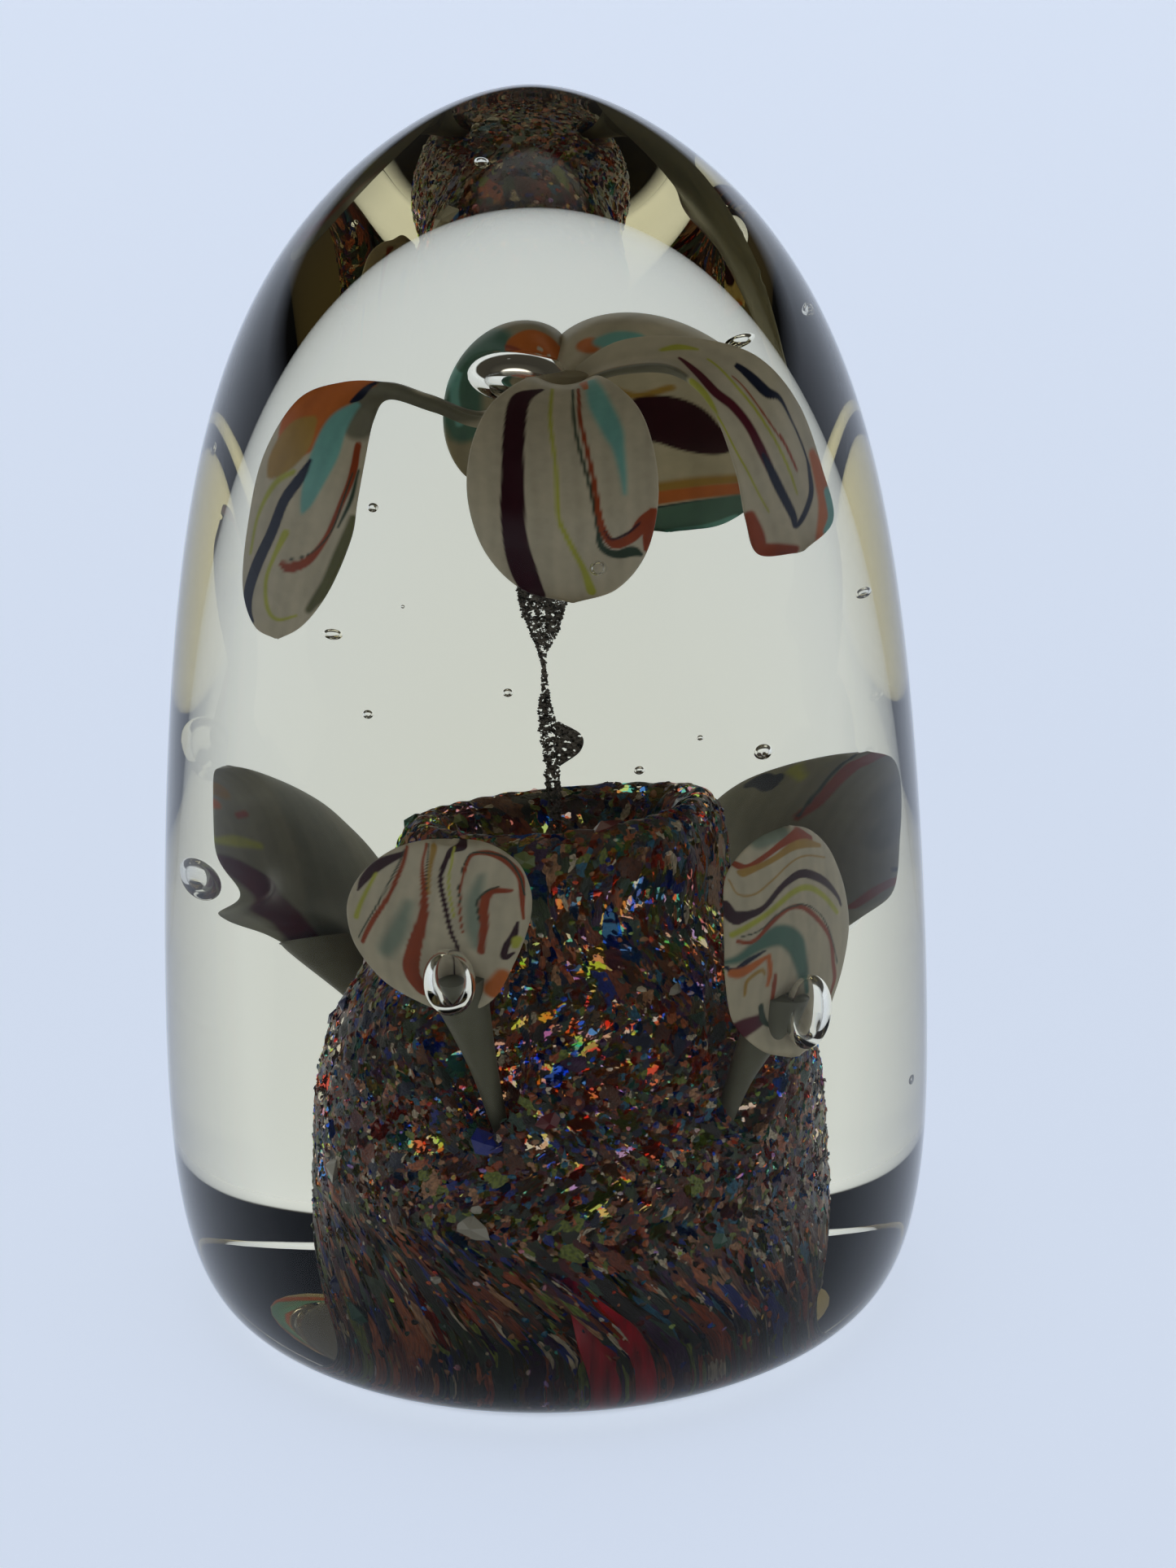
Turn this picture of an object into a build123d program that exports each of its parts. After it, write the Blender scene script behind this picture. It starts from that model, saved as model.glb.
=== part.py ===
from build123d import *

import math
import os

# A cast glass paperweight: an egg of clear glass, ground flat below, that holds a pot of crushed
# coloured glass, four lilies set round the pot, and a drooping five-petalled flower above it.
# Millimetres. The origin is the centre of the flat base, +Z is up, and the front is towards -Y.
# An azimuth is measured from the front, positive towards +X.

# Casing: the outline runs from the ground base out to the belly and in again to the crown.
casing_height = 127.0
base_radius = 32.0
belly_radius = 40.3
belly_height = 24.0
heel_reach = 1.2            # how far the heel leans out as it leaves the base
heel_rise = 2.9             # how high that lean is held
heel_drop = 27.1            # how soon the heel turns upright below the belly
flank_rise = 29.7           # how long the flank stays upright above the belly
shoulder_inset = 5.3        # shoulder control point, in from the belly
shoulder_drop = 31.0        # and below the crown
crown_inset = 4.2           # crown control point, in from the belly
crown_drop = 21.9           # and below the crown
crown_reach = 15.6          # half width of the rounded top

# Pot of crushed glass, wrapped round a clear core and drawn in to a dip at its top.
pot_offset = 1.3            # the pot stands a little towards +X
pot_height = 56.0
pot_base_radius = 15.2
pot_belly_radius = 17.4
pot_belly_height = 21.0
pot_shoulder_height = 37.5
pot_neck_radius = 11.2
pot_neck_height = 46.0
pot_rim_round = 2.2
pot_skin = 1.1
crater_radius = 7.4
crater_depth = 7.5

# Lilies: four thin trumpets, each poked down into the shoulder of the pot. Their azimuths:
lily_azimuths = {
    "lily_front_left": -21.0,
    "lily_front_right": 58.0,
    "lily_right": 141.0,
    "lily_left": -134.0,
}
lily_tilt = 18.0            # the trumpet's axis, out from upright
lily_wall = 1.1
lily_stem_radius = 0.6
lily_length = 32.0
lily_mouth_radius = 10.0
# outer radius of the trumpet and its place along the axis, between the stem and the mouth
lily_flare = [(1.3, 8.0), (2.6, 14.0), (5.0, 18.0), (7.2, 22.0), (8.8, 26.0)]
lily_floor = 13.4           # the bottom of the cup
lily_lag = [1.4, 0.8, 0.6, 0.5]     # how far the cup's inside lags behind its outside
lily_mouth_slope = 41.0     # the mouth faces outwards
lily_mouth_place = 22.6     # where the mouth's plane meets the axis
stem_foot_inset = 4.2       # the stem's foot, in from the pot's belly
stem_foot_rise = 4.8        # and above the height of the belly
pit_foot_radius = 0.9       # the pit round a stem is a cone in the pot's shoulder
pit_flare = 16.0
pit_length = 26.0
pit_clearance = 0.7         # clear glass under the stem's foot

# Upper flower: five petals that droop from a stem like an umbrella.
flower_offset = 1.5         # the flower's middle, towards +X
flower_cover = 30.5         # clear glass above the flower
petal_thickness = 2.0
petal_root_width = 2.0
petal_root_overlap = 1.6    # how far a petal runs into the stem's head before it is trimmed
petal_widest = 0.62         # where a petal is widest, as a share of its length
# azimuth, reach from the stem, drop below the top, width
petals = {
    "petal_front": (2.0, 22.5, 17.0, 14.6),
    "petal_right": (70.0, 22.5, 15.5, 13.0),
    "petal_back_right": (150.0, 20.5, 18.0, 15.0),
    "petal_back_left": (210.0, 16.0, 14.0, 12.0),
    "petal_left": (288.0, 26.0, 22.0, 13.0),
}
stem_head_radius = 3.4
stem_head_round = 1.2
stem_length = 25.5
stem_tip_radius = 0.45

# Thread of crusted residue, from the dip in the pot up to the tip of the flower's stem.
thread_offset = 0.6
thread_radius = 0.9
thread_neck_radius = 0.35
flake_width = 1.8
flake_height = 3.2
flake_thickness = 0.5
joint_overlap = 0.3         # how far the thread runs into its neighbours before it is trimmed

# Bubbles are hollows in the clear glass.
throat_bubble = (2.0, 3.3)  # half width, half length
throat_bubble_place = 19.3  # along the lily's axis
throat_bubble_shift = 1.2   # from the lily's axis, outwards
crown_bubble_radius = 2.2
crown_bubble_shift = -2.4   # from the flower's middle, towards +X
crown_bubble_gap = 0.7      # clear glass between that bubble and the flower
# azimuth, distance from the axis, height, radius
seed_bubbles = [
    (-56.7, 14.6, 86.8, 0.55),
    (-16.4, 8.3, 69.5, 0.5),
    (-57.9, 15.1, 67.4, 0.5),
    (41.7, 10.7, 61.6, 0.5),
    (64.3, 18.4, 66.0, 0.8),
    (118.0, 22.0, 72.0, 0.6),
    (-150.0, 22.0, 68.0, 0.6),
    (170.0, 14.0, 108.0, 0.5),
    (-98.0, 31.0, 28.0, 0.6),
    (84.0, 31.0, 24.0, 0.6),
]

# Coarse chips let into the skin of the pot: azimuth, height, radius.
coarse_chips = [
    (-37.0, 23.6, 1.4),
    (-11.0, 22.0, 1.3),
    (3.0, 19.5, 1.6),
    (5.0, 15.2, 1.3),
    (34.0, 14.0, 1.1),
    (77.0, 8.7, 1.3),
    (-62.0, 11.0, 1.4),
    (96.0, 17.0, 1.5),
    (133.0, 9.0, 1.3),
    (171.0, 15.0, 1.5),
    (-148.0, 8.5, 1.4),
    (-101.0, 17.0, 1.3),
]

# A smear of deep colour that runs down the front of the pot to the base.
smear_azimuth = 9.0
smear_width = 8.0
smear_height = 11.0
smear_lean = 3.5            # the smear's foot, further towards +X than its top


def outward(azimuth, distance, height=0.0):
    """The point at a distance from the Z axis, in the direction of an azimuth."""
    angle = math.radians(azimuth)
    return Vector(distance * math.sin(angle), -distance * math.cos(angle), height)


def turned(outline):
    """The solid that a closed outline of radius and height makes when it is turned about Z."""
    return revolve(Plane.XZ * make_face(outline), Axis.Z)


def ellipsoid(half_width, half_height):
    """A round solid centred on the origin."""
    side = EllipticalCenterArc((0, 0), half_width, half_height, start_angle=-90, arc_size=180)
    return turned([side, Line(side @ 1, side @ 0)])


def make_egg():
    """The casing's outer shape, before the pieces inside are let into it."""
    belly = (belly_radius, belly_height)
    heel = Bezier(
        (base_radius, 0),
        (base_radius + heel_reach, heel_rise),
        (belly_radius, belly_height - heel_drop),
        belly,
    )
    dome = Bezier(
        belly,
        (belly_radius, belly_height + flank_rise),
        (belly_radius - shoulder_inset, casing_height - shoulder_drop),
        (belly_radius - crown_inset, casing_height - crown_drop),
        (crown_reach, casing_height),
        (0, casing_height),
    )
    return turned([Line((0, 0), heel @ 0), heel, dome, Line(dome @ 1, (0, 0))])


def lily_plane(azimuth):
    """The frame of one lily: its origin is the stem's foot, Z is the trumpet's axis, X is outwards."""
    foot = outward(azimuth, pot_belly_radius - stem_foot_inset, pot_belly_height + stem_foot_rise)
    side = outward(azimuth, 1.0)
    tilt = math.radians(lily_tilt)
    axis = side * math.sin(tilt) + Vector(0, 0, math.cos(tilt))
    across = side * math.cos(tilt) - Vector(0, 0, math.sin(tilt))
    return Plane(origin=foot + Vector(pot_offset, 0, 0), x_dir=across, z_dir=axis)


def make_pot(azimuths, inset):
    """The pot as one solid, or the clear core inside it when it is inset by the skin."""
    base = pot_base_radius - inset
    belly = pot_belly_radius - inset
    neck = pot_neck_radius - inset
    mouth = crater_radius + inset
    top = pot_height - inset
    lip_height = pot_height - pot_rim_round
    floor = pot_height - crater_depth - inset
    lower = Bezier((base, 0), (belly, pot_belly_height / 3), (belly, pot_belly_height / 2),
                   (belly, pot_belly_height))
    shoulder = Bezier(lower @ 1, (belly, pot_shoulder_height), (neck, pot_shoulder_height),
                      (neck, pot_neck_height))
    wall = Line(shoulder @ 1, (neck, lip_height))
    rim = ThreePointArc((neck, lip_height), ((neck + mouth) / 2, top), (mouth, lip_height))
    crater = Bezier(rim @ 1, (mouth, floor), (mouth / 2, floor), (0, floor))
    pot = turned([Line((0, 0), lower @ 0), lower, shoulder, wall, rim, crater, Line(crater @ 1, (0, 0))])
    pot = Pos(pot_offset, 0, 0) * pot
    flare = math.radians(pit_flare)
    start = pit_clearance + inset
    foot_radius = pit_foot_radius + inset / math.cos(flare) - inset * math.tan(flare)
    length = start + pit_length
    pit = Cone(foot_radius, foot_radius + length * math.tan(flare), length,
               align=(Align.CENTER, Align.CENTER, Align.MIN))
    return pot - [lily_plane(azimuth) * Pos(0, 0, -start) * pit for azimuth in azimuths]


def make_trumpet():
    """One lily in its own frame: a solid stem that opens into a thin flared cup."""
    cup = (lily_mouth_radius, lily_length)
    outside = Spline((lily_stem_radius, 0), *lily_flare, cup)
    lining = [(radius - lily_wall, place + lag) for (radius, place), lag in zip(lily_flare[1:], lily_lag)]
    inside = Spline((lily_mouth_radius - lily_wall, lily_length), *reversed(lining), (0, lily_floor))
    trumpet = turned([Line((0, 0), outside @ 0), outside, Line(outside @ 1, inside @ 0), inside,
                      Line(inside @ 1, (0, 0))])
    slope = math.radians(lily_mouth_slope)
    mouth = Plane(origin=(0, 0, lily_mouth_place), z_dir=(math.sin(slope), 0, math.cos(slope)))
    return split(trumpet, bisect_by=mouth, keep=Keep.BOTTOM)


def make_stem(tip, head):
    """The flower's stem, from its tip up to the rounded head that carries the petals."""
    shoulder = stem_length - stem_head_round
    side = Bezier((stem_tip_radius, 0), (stem_tip_radius, stem_length / 3),
                  (stem_head_radius, stem_length / 2), (stem_head_radius, shoulder))
    crown = Bezier(side @ 1, (stem_head_radius, stem_length), (stem_head_radius / 2, stem_length),
                   (0, stem_length))
    stem = turned([Line((0, 0), side @ 0), side, crown, Line(crown @ 1, (0, 0))])
    return Plane(origin=tip, z_dir=head - tip) * stem


def make_petal(middle, azimuth, reach, drop, width):
    """One petal: a leaf cut out of a domed shell that is as wide and as deep as the petal droops."""
    centre = middle - Vector(0, 0, drop)
    shell = ellipsoid(reach, drop) - ellipsoid(reach - petal_thickness, drop - petal_thickness)
    slope = math.sqrt(0.5)
    root = (drop - petal_root_overlap) * slope
    length = root + reach * slope
    side = Spline((petal_root_width / 2, root), (width / 2, root - petal_widest * length),
                  (0, root - length), tangents=[(0, -1), (-1, 0)])
    leaf = make_face([side, mirror(side, Plane.YZ), Line((-petal_root_width / 2, root), side @ 0)])
    facing = (outward(azimuth, 1.0) + Vector(0, 0, 1)) * slope
    sheet = Plane(origin=centre, x_dir=outward(azimuth + 90.0, 1.0), z_dir=facing)
    return (Pos(centre) * shell) & extrude(sheet * leaf, reach + drop, dir=facing)


def make_thread(bottom, tip):
    """The rough thread, with a swelling in its lower half and a thin neck under the flower's stem."""
    low = bottom - joint_overlap
    high = tip + joint_overlap
    length = tip - bottom
    side = Spline((thread_radius / 2, low), (thread_radius, bottom + 0.3 * length),
                  (0.8 * thread_radius, bottom + 0.6 * length),
                  (thread_neck_radius, bottom + 0.85 * length), (thread_neck_radius, high))
    outline = [Line((0, low), side @ 0), side, Line(side @ 1, (0, high)), Line((0, high), (0, low))]
    return Pos(thread_offset, 0, 0) * turned(outline)


def make_chip_cutters():
    """Round cutters that stand out from the pot's axis, one for each coarse chip."""
    cutters = []
    for azimuth, height, radius in coarse_chips:
        centre = Vector(pot_offset, 0, height)
        facing = Plane(origin=centre, z_dir=outward(azimuth, 1.0))
        cutters.append(facing * Cylinder(radius, 2 * pot_belly_radius,
                                         align=(Align.CENTER, Align.CENTER, Align.MIN)))
    return cutters


def make_smear_cutter():
    """A leaning wedge that stands out from the pot's axis and marks off the smear."""
    facing = Plane(origin=(pot_offset, 0, 0), x_dir=outward(smear_azimuth + 90.0, 1.0),
                   z_dir=outward(smear_azimuth, 1.0))
    half = smear_width / 2
    outline = Polyline((smear_lean - half, 0), (smear_lean + half, 0), (smear_lean + half, smear_height / 2),
                       (-half, smear_height), close=True)
    return extrude(facing * make_face(outline), 2 * pot_belly_radius)


def solids_of(shape):
    """The separate solids of a shape, as one compound when there are several."""
    found = shape.solids()
    return found[0] if len(found) == 1 else Compound(children=found)


azimuths = lily_azimuths.values()
flower_top = casing_height - flower_cover
middle = Vector(flower_offset, 0, flower_top)
stem_tip = Vector(thread_offset, 0, flower_top - stem_length)
crater_floor = pot_height - crater_depth

pot = make_pot(azimuths, 0.0)
core = make_pot(azimuths, pot_skin)
skin = pot - core
smear_cutter = make_smear_cutter()
chip_cutters = [cutter - smear_cutter for cutter in make_chip_cutters()]
smear = skin & smear_cutter
chips = [skin & cutter for cutter in chip_cutters]
skin = skin - [smear_cutter] - chip_cutters

trumpet = make_trumpet()
lilies = {name: lily_plane(azimuth) * trumpet for name, azimuth in lily_azimuths.items()}

stem = make_stem(stem_tip, middle)
leaves = {name: make_petal(middle, *sizes) - stem for name, sizes in petals.items()}
thread = make_thread(crater_floor, stem_tip.Z) - pot - stem
flake_centre = Vector(thread_offset + flake_width / 2, 0, (crater_floor + stem_tip.Z) / 2)
flake = Pos(flake_centre) * Box(flake_width, flake_thickness, flake_height) - thread

throat = Pos(throat_bubble_shift, 0, throat_bubble_place) * ellipsoid(*throat_bubble)
bubbles = [lily_plane(azimuth) * throat for azimuth in azimuths]
crown_place = middle + Vector(crown_bubble_shift, 0, crown_bubble_gap + crown_bubble_radius)
bubbles.append(Pos(crown_place) * Sphere(crown_bubble_radius))
for azimuth, distance, height, radius in seed_bubbles:
    bubbles.append(Pos(outward(azimuth, distance, height)) * Sphere(radius))

casing = make_egg() - [pot]
for piece in [*lilies.values(), stem, *leaves.values(), thread, flake, *bubbles]:
    casing = casing - piece

nodes = {
    "clear_casing": casing,
    "clear_core": core,
    "frit_pot": skin,
    "coarse_chips": Compound(children=[solid for chip in chips for solid in chip.solids()]),
    "red_smear": smear,
    "flower_stem": stem,
    "centre_thread": thread,
    "thread_flake": flake,
    **lilies,
    **leaves,
}
os.makedirs("parts", exist_ok=True)
for name, shape in nodes.items():
    export_step(solids_of(shape), f"parts/{name}.step")
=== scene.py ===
import math

import bpy
import numpy as np
from bpy.props import FloatProperty, FloatVectorProperty, IntProperty, PointerProperty
from mathutils import Matrix, Vector


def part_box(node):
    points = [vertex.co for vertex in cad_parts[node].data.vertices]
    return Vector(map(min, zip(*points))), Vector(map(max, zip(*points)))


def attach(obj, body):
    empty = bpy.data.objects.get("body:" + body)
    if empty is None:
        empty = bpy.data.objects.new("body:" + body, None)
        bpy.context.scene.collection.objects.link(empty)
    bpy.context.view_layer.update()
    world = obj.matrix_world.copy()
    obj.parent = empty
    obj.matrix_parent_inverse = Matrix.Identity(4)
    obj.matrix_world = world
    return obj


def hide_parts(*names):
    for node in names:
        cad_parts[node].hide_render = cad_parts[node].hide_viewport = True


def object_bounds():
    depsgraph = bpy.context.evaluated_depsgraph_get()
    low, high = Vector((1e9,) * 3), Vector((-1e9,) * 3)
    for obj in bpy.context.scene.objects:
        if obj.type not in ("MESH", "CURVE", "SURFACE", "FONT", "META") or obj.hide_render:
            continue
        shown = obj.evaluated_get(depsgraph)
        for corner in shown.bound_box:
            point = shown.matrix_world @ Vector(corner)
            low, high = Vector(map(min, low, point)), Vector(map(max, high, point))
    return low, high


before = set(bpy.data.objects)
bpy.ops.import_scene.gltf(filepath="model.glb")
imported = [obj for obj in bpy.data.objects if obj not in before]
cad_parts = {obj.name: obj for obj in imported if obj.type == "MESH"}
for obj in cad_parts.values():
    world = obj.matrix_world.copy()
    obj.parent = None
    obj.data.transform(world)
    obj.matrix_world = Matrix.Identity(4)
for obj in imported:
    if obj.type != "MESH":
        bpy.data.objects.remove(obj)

bl_info = {
    "name": "Glass Flower Paperweight",
    "version": (1, 0, 0),
    "blender": (4, 5, 0),
    "location": "3D View > Sidebar > Paperweight",
    "description": "Builds a clear glass egg with a pot of crushed glass, lilies and a striped flower inside",
    "category": "Object",
}

MM = 0.001
CAD_BOX = [list(corner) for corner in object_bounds()]
CASING_HEIGHT = CAD_BOX[1][2] / MM
BELLY_RADIUS = CAD_BOX[1][0] / MM
POT_LOW, POT_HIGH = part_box("frit_pot")
POT_OFFSET = (POT_LOW.x + POT_HIGH.x) / 2 / MM
POT_HEIGHT = POT_HIGH.z / MM
POT_COLUMNS = 420        # points round the pot
POT_FOOT = 0.12          # height of the pot's foot over the ground base, in millimetres
TUBE_ROWS = 240          # rings along a tube

# Colours of the rod and frit, as sRGB hex.
HEX = {
    "opal": "#b3a88f",
    # The opal darkened as painted shade, for the back left petal and the flower's stem.
    "opal_painted_shade": "#94896f",
    # The opal greyed and darkened for the backs of the left and right lilies and for the lily stems: partly plain
    # back colour, partly painted shade.
    "opal_grey": "#83806a",
    "aubergine": "#2a0812",
    "navy": "#101528",
    "rust": "#8a3a18",
    "orange": "#b4622a",
    "mustard": "#9c7a38",
    "lime": "#a3a240",
    "turquoise": "#6fa398",
    "teal": "#4c6b5c",
    "bottle": "#2c3a2a",
    "olive": "#5a5834",
    "wine": "#4a0f1c",
    "teal_pale": "#7d8674",
    "olive_grey": "#6e6a58",
    # Grey-green for the plain backs of the left and right lilies: partly their own colour, partly painted shade.
    "grey_green": "#6a6a58",
}


def linear(code):
    """An sRGB hex colour as linear red, green and blue."""
    values = [int(code[i:i + 2], 16) / 255 for i in (1, 3, 5)]
    return tuple(v / 12.92 if v <= 0.04045 else ((v + 0.055) / 1.055) ** 2.4 for v in values)


def rgba(code):
    return (*linear(code), 1.0)


# ---------------------------------------------------------------- settings


class PaperweightSizes(bpy.types.PropertyGroup):
    base_radius: FloatProperty(name="Base radius", description="Radius of the ground flat, in millimetres",
                               default=32.0)
    belly_height: FloatProperty(name="Belly height", description="Height of the widest place, in millimetres",
                                default=24.0)
    crown_reach: FloatProperty(name="Crown reach", description="Half width of the rounded top, in millimetres",
                               default=15.6)
    casing_segments: IntProperty(name="Casing segments", description="Divisions round the clear casing",
                                 default=256)
    petal_thickness: FloatProperty(name="Petal thickness", description="Thickness of a petal, in millimetres",
                                   default=2.0)
    lily_wall: FloatProperty(name="Lily wall", description="Thickness of a lily, in millimetres", default=1.1)
    pot_skin: FloatProperty(name="Pot skin", description="Thickness of the crushed glass, in millimetres",
                            default=1.1)
    chip_count: IntProperty(name="Chip count", description="Raised chips on the pot", default=2400)
    chip_size: FloatProperty(name="Chip size", description="Width of a common raised chip, in millimetres",
                             default=0.62)
    grain_count: IntProperty(name="Grain count", description="Grains of ash on the thread", default=2600)


class PaperweightColours(bpy.types.PropertyGroup):
    floor: FloatVectorProperty(name="Floor", description="Pale floor and backdrop", subtype="COLOR", size=3,
                               default=linear("#dbe6f8"))
    glass_tint: FloatVectorProperty(name="Glass tint", description="Tint that deepens with the depth of glass",
                                    subtype="COLOR", size=3, default=(0.855, 0.69, 0.05))
    ash: FloatVectorProperty(name="Ash", description="Crust on the thread", subtype="COLOR", size=3,
                             default=linear("#3a3632"))


# ---------------------------------------------------------------- nodes and meshes


def add_node(tree, kind, inputs=None, **settings):
    """Adds a node with its settings. Each input is a value, or a socket to link."""
    node = tree.nodes.new(kind)
    for name, value in settings.items():
        setattr(node, name, value)
    for name, value in (inputs or {}).items():
        if isinstance(value, bpy.types.NodeSocket):
            tree.links.new(value, node.inputs[name])
        else:
            node.inputs[name].default_value = value
    return node


def new_material(name):
    """An empty material: returns it, its tree and its output node."""
    material = bpy.data.materials.new(name)
    material.use_nodes = True
    material.node_tree.nodes.clear()
    return material, material.node_tree, add_node(material.node_tree, "ShaderNodeOutputMaterial")


def set_ramp(ramp, stops):
    """Gives a colour ramp its stops, each a position and a colour."""
    elements = ramp.color_ramp.elements
    for i, (position, colour) in enumerate(stops):
        element = elements[i] if i < 2 else elements.new(position)
        element.position = position
        element.color = colour


def make_object(name, points, faces, material):
    """A smooth mesh object at the origin, from points in millimetres."""
    mesh = bpy.data.meshes.new(name)
    mesh.from_pydata((np.asarray(points, float) * MM).tolist(), [], faces)
    mesh.validate()
    mesh.shade_smooth()
    mesh.materials.append(material)
    obj = bpy.data.objects.new(name, mesh)
    bpy.context.scene.collection.objects.link(obj)
    return obj


def finish_piece(obj, slot, *nodes):
    """The piece rides on the root and stands for CAD nodes, which it hides. Its slot is not used."""
    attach(obj, "root")
    if nodes:
        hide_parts(*nodes)


def grid_faces(rows, columns, start=0):
    """Quads of a tube: rows of rings, each closed round its columns."""
    i, j = np.meshgrid(np.arange(rows - 1), np.arange(columns), indexing="ij")
    k = (j + 1) % columns
    quads = np.stack([i * columns + j, i * columns + k, (i + 1) * columns + k, (i + 1) * columns + j], -1)
    return (quads.reshape(-1, 4) + start).tolist()


def spline(points, count):
    """A smooth curve through a few given points, as count points."""
    points = np.array(points, float)
    padded = np.vstack([2 * points[0] - points[1], points, 2 * points[-1] - points[-2]])
    at = np.linspace(0, len(points) - 1, count)
    i = np.minimum(at.astype(int), len(points) - 2)
    t = (at - i)[:, None]
    a, b, c, d = (padded[i + k] for k in range(4))
    return 0.5 * (2 * b + (c - a) * t + (2 * a - 5 * b + 4 * c - d) * t**2 + (3 * b - a - 3 * c + d) * t**3)


def bezier(points, count):
    """A Bezier curve of any degree, as count points."""
    points = np.array(points, float)
    n = len(points) - 1
    t = np.linspace(0, 1, count)[:, None]
    return sum(math.comb(n, i) * (1 - t) ** (n - i) * t**i * points[i] for i in range(n + 1))


def unit(v):
    return v / np.maximum(np.linalg.norm(v, axis=-1, keepdims=True), 1e-9)


def outward(azimuth, distance, height=0.0):
    """The point at a distance from the axis. An azimuth is from the front, -Y, towards +X."""
    angle = math.radians(azimuth)
    return np.array([distance * math.sin(angle), -distance * math.cos(angle), height])


# ---------------------------------------------------------------- painting striped glass


def stroke_mask(x, y, line, soft):
    """How much a drawn line covers each point. A line's points are across, along and half width."""
    path = spline(line, 10 * len(line))
    best = np.full(x.shape, 1e9)
    for (ax, ay, aw), (bx, by, bw) in zip(path[:-1], path[1:]):
        dx, dy = bx - ax, by - ay
        t = np.clip(((x - ax) * dx + (y - ay) * dy) / max(dx * dx + dy * dy, 1e-9), 0, 1)
        best = np.minimum(best, np.hypot(x - ax - t * dx, y - ay - t * dy) - aw - t * (bw - aw))
    edge = np.clip((soft / 2 - best) / soft, 0, 1)
    return edge * edge * (3 - 2 * edge)


def paint(x, y, base, strokes, seed):
    """Colours of a drawn sheet: a base tone, faint flow lines and the strokes on top, in order."""
    rng = np.random.default_rng(seed)
    phase = rng.uniform(0, 6.28, 8)
    wx = x + 0.12 * np.sin(0.35 * y + phase[0])
    wy = y + 0.15 * np.sin(0.4 * x + phase[2])
    colour = np.ones(x.shape + (3,)) * np.array(linear(HEX[base]))
    flow = (np.sin(2.1 * wx + 0.5 * np.sin(0.3 * y + phase[4]) + phase[5])
            + 0.6 * np.sin(5.3 * wx + 0.4 * np.sin(0.5 * y) + phase[6]))
    colour *= (1 + 0.05 * flow)[..., None]
    for name, soft, line in strokes:
        mask = stroke_mask(wx, wy, line, soft)[..., None]
        tone = np.array(linear(HEX[name])) * (1 + 0.05 * flow)[..., None]
        colour = colour * (1 - mask) + tone * mask
    return colour


def store_colours(obj, name, colours):
    """Keeps a colour at each point of the mesh for its material to read."""
    attribute = obj.data.color_attributes.new(name, "FLOAT_COLOR", "POINT")
    values = np.ones((len(colours), 4), np.float32)
    values[:, :3] = colours
    attribute.data.foreach_set("color", values.ravel())


def opal_glass_material():
    """Drawn opal glass sealed in clear glass: it has little gloss of its own, and passes a little light."""
    material, tree, output = new_material("drawn_opal_glass")
    colour = add_node(tree, "ShaderNodeVertexColor", layer_name="Glaze")
    place = add_node(tree, "ShaderNodeTexCoord")
    cloud = add_node(tree, "ShaderNodeTexNoise", {"Vector": place.outputs["Object"], "Scale": 900.0, "Detail": 3.0})
    shade = add_node(tree, "ShaderNodeMapRange", {"Value": cloud.outputs["Fac"], "From Min": 0.3, "From Max": 0.7,
                                                  "To Min": 0.93, "To Max": 1.05})
    tone = add_node(tree, "ShaderNodeVectorMath", {0: colour.outputs["Color"], "Scale": shade.outputs["Result"]},
                    operation="SCALE")
    solid = add_node(tree, "ShaderNodeBsdfPrincipled", {
        "Base Color": tone.outputs["Vector"], "Roughness": 0.35, "Specular IOR Level": 0.25,
    })
    glow = add_node(tree, "ShaderNodeBsdfTranslucent", {"Color": tone.outputs["Vector"]})
    both = add_node(tree, "ShaderNodeMixShader", {"Fac": 0.3, 1: solid.outputs["BSDF"], 2: glow.outputs["BSDF"]})
    tree.links.new(both.outputs["Shader"], output.inputs["Surface"])
    return material


# ---------------------------------------------------------------- clear casing


def casing_profile(sizes):
    """Radius and height of the outline from the edge of the base to the crown, in millimetres."""
    belly = (BELLY_RADIUS, sizes.belly_height)
    heel = bezier([(sizes.base_radius, 0), (sizes.base_radius + 1.2, 2.9),
                   (BELLY_RADIUS, sizes.belly_height - 27.1),
                   belly], 40)
    dome = bezier([belly, (BELLY_RADIUS, sizes.belly_height + 29.7), (BELLY_RADIUS - 5.3, CASING_HEIGHT - 31.0),
                   (BELLY_RADIUS - 4.2, CASING_HEIGHT - 21.9), (sizes.crown_reach, CASING_HEIGHT),
                   (0, CASING_HEIGHT)], 150)
    return np.vstack([heel, dome[1:-1]])


def bubble(centre, half_width, half_height, axis, start, rings=20, columns=36):
    """Points and faces of an air bubble: its faces look into the bubble, out of the glass."""
    axis = unit(np.array(axis, float))
    side = unit(np.cross(axis, (0.3, 1.0, 0.2)))
    other = np.cross(axis, side)
    points = [np.array(centre) - axis * half_height]
    for i in range(1, rings):
        a = math.pi * i / rings
        for j in range(columns):
            b = 2 * math.pi * j / columns
            flat = (side * math.cos(b) + other * math.sin(b)) * half_width * math.sin(a)
            points.append(np.array(centre) + flat - axis * half_height * math.cos(a))
    points.append(np.array(centre) + axis * half_height)
    last = start + len(points) - 1
    faces = [f[::-1] for f in grid_faces(rings - 1, columns, start + 1)]
    ring = start + 1 + (rings - 2) * columns
    for j in range(columns):
        k = (j + 1) % columns
        faces.append([start, start + 1 + j, start + 1 + k])
        faces.append([last, ring + k, ring + j])
    return points, faces


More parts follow.
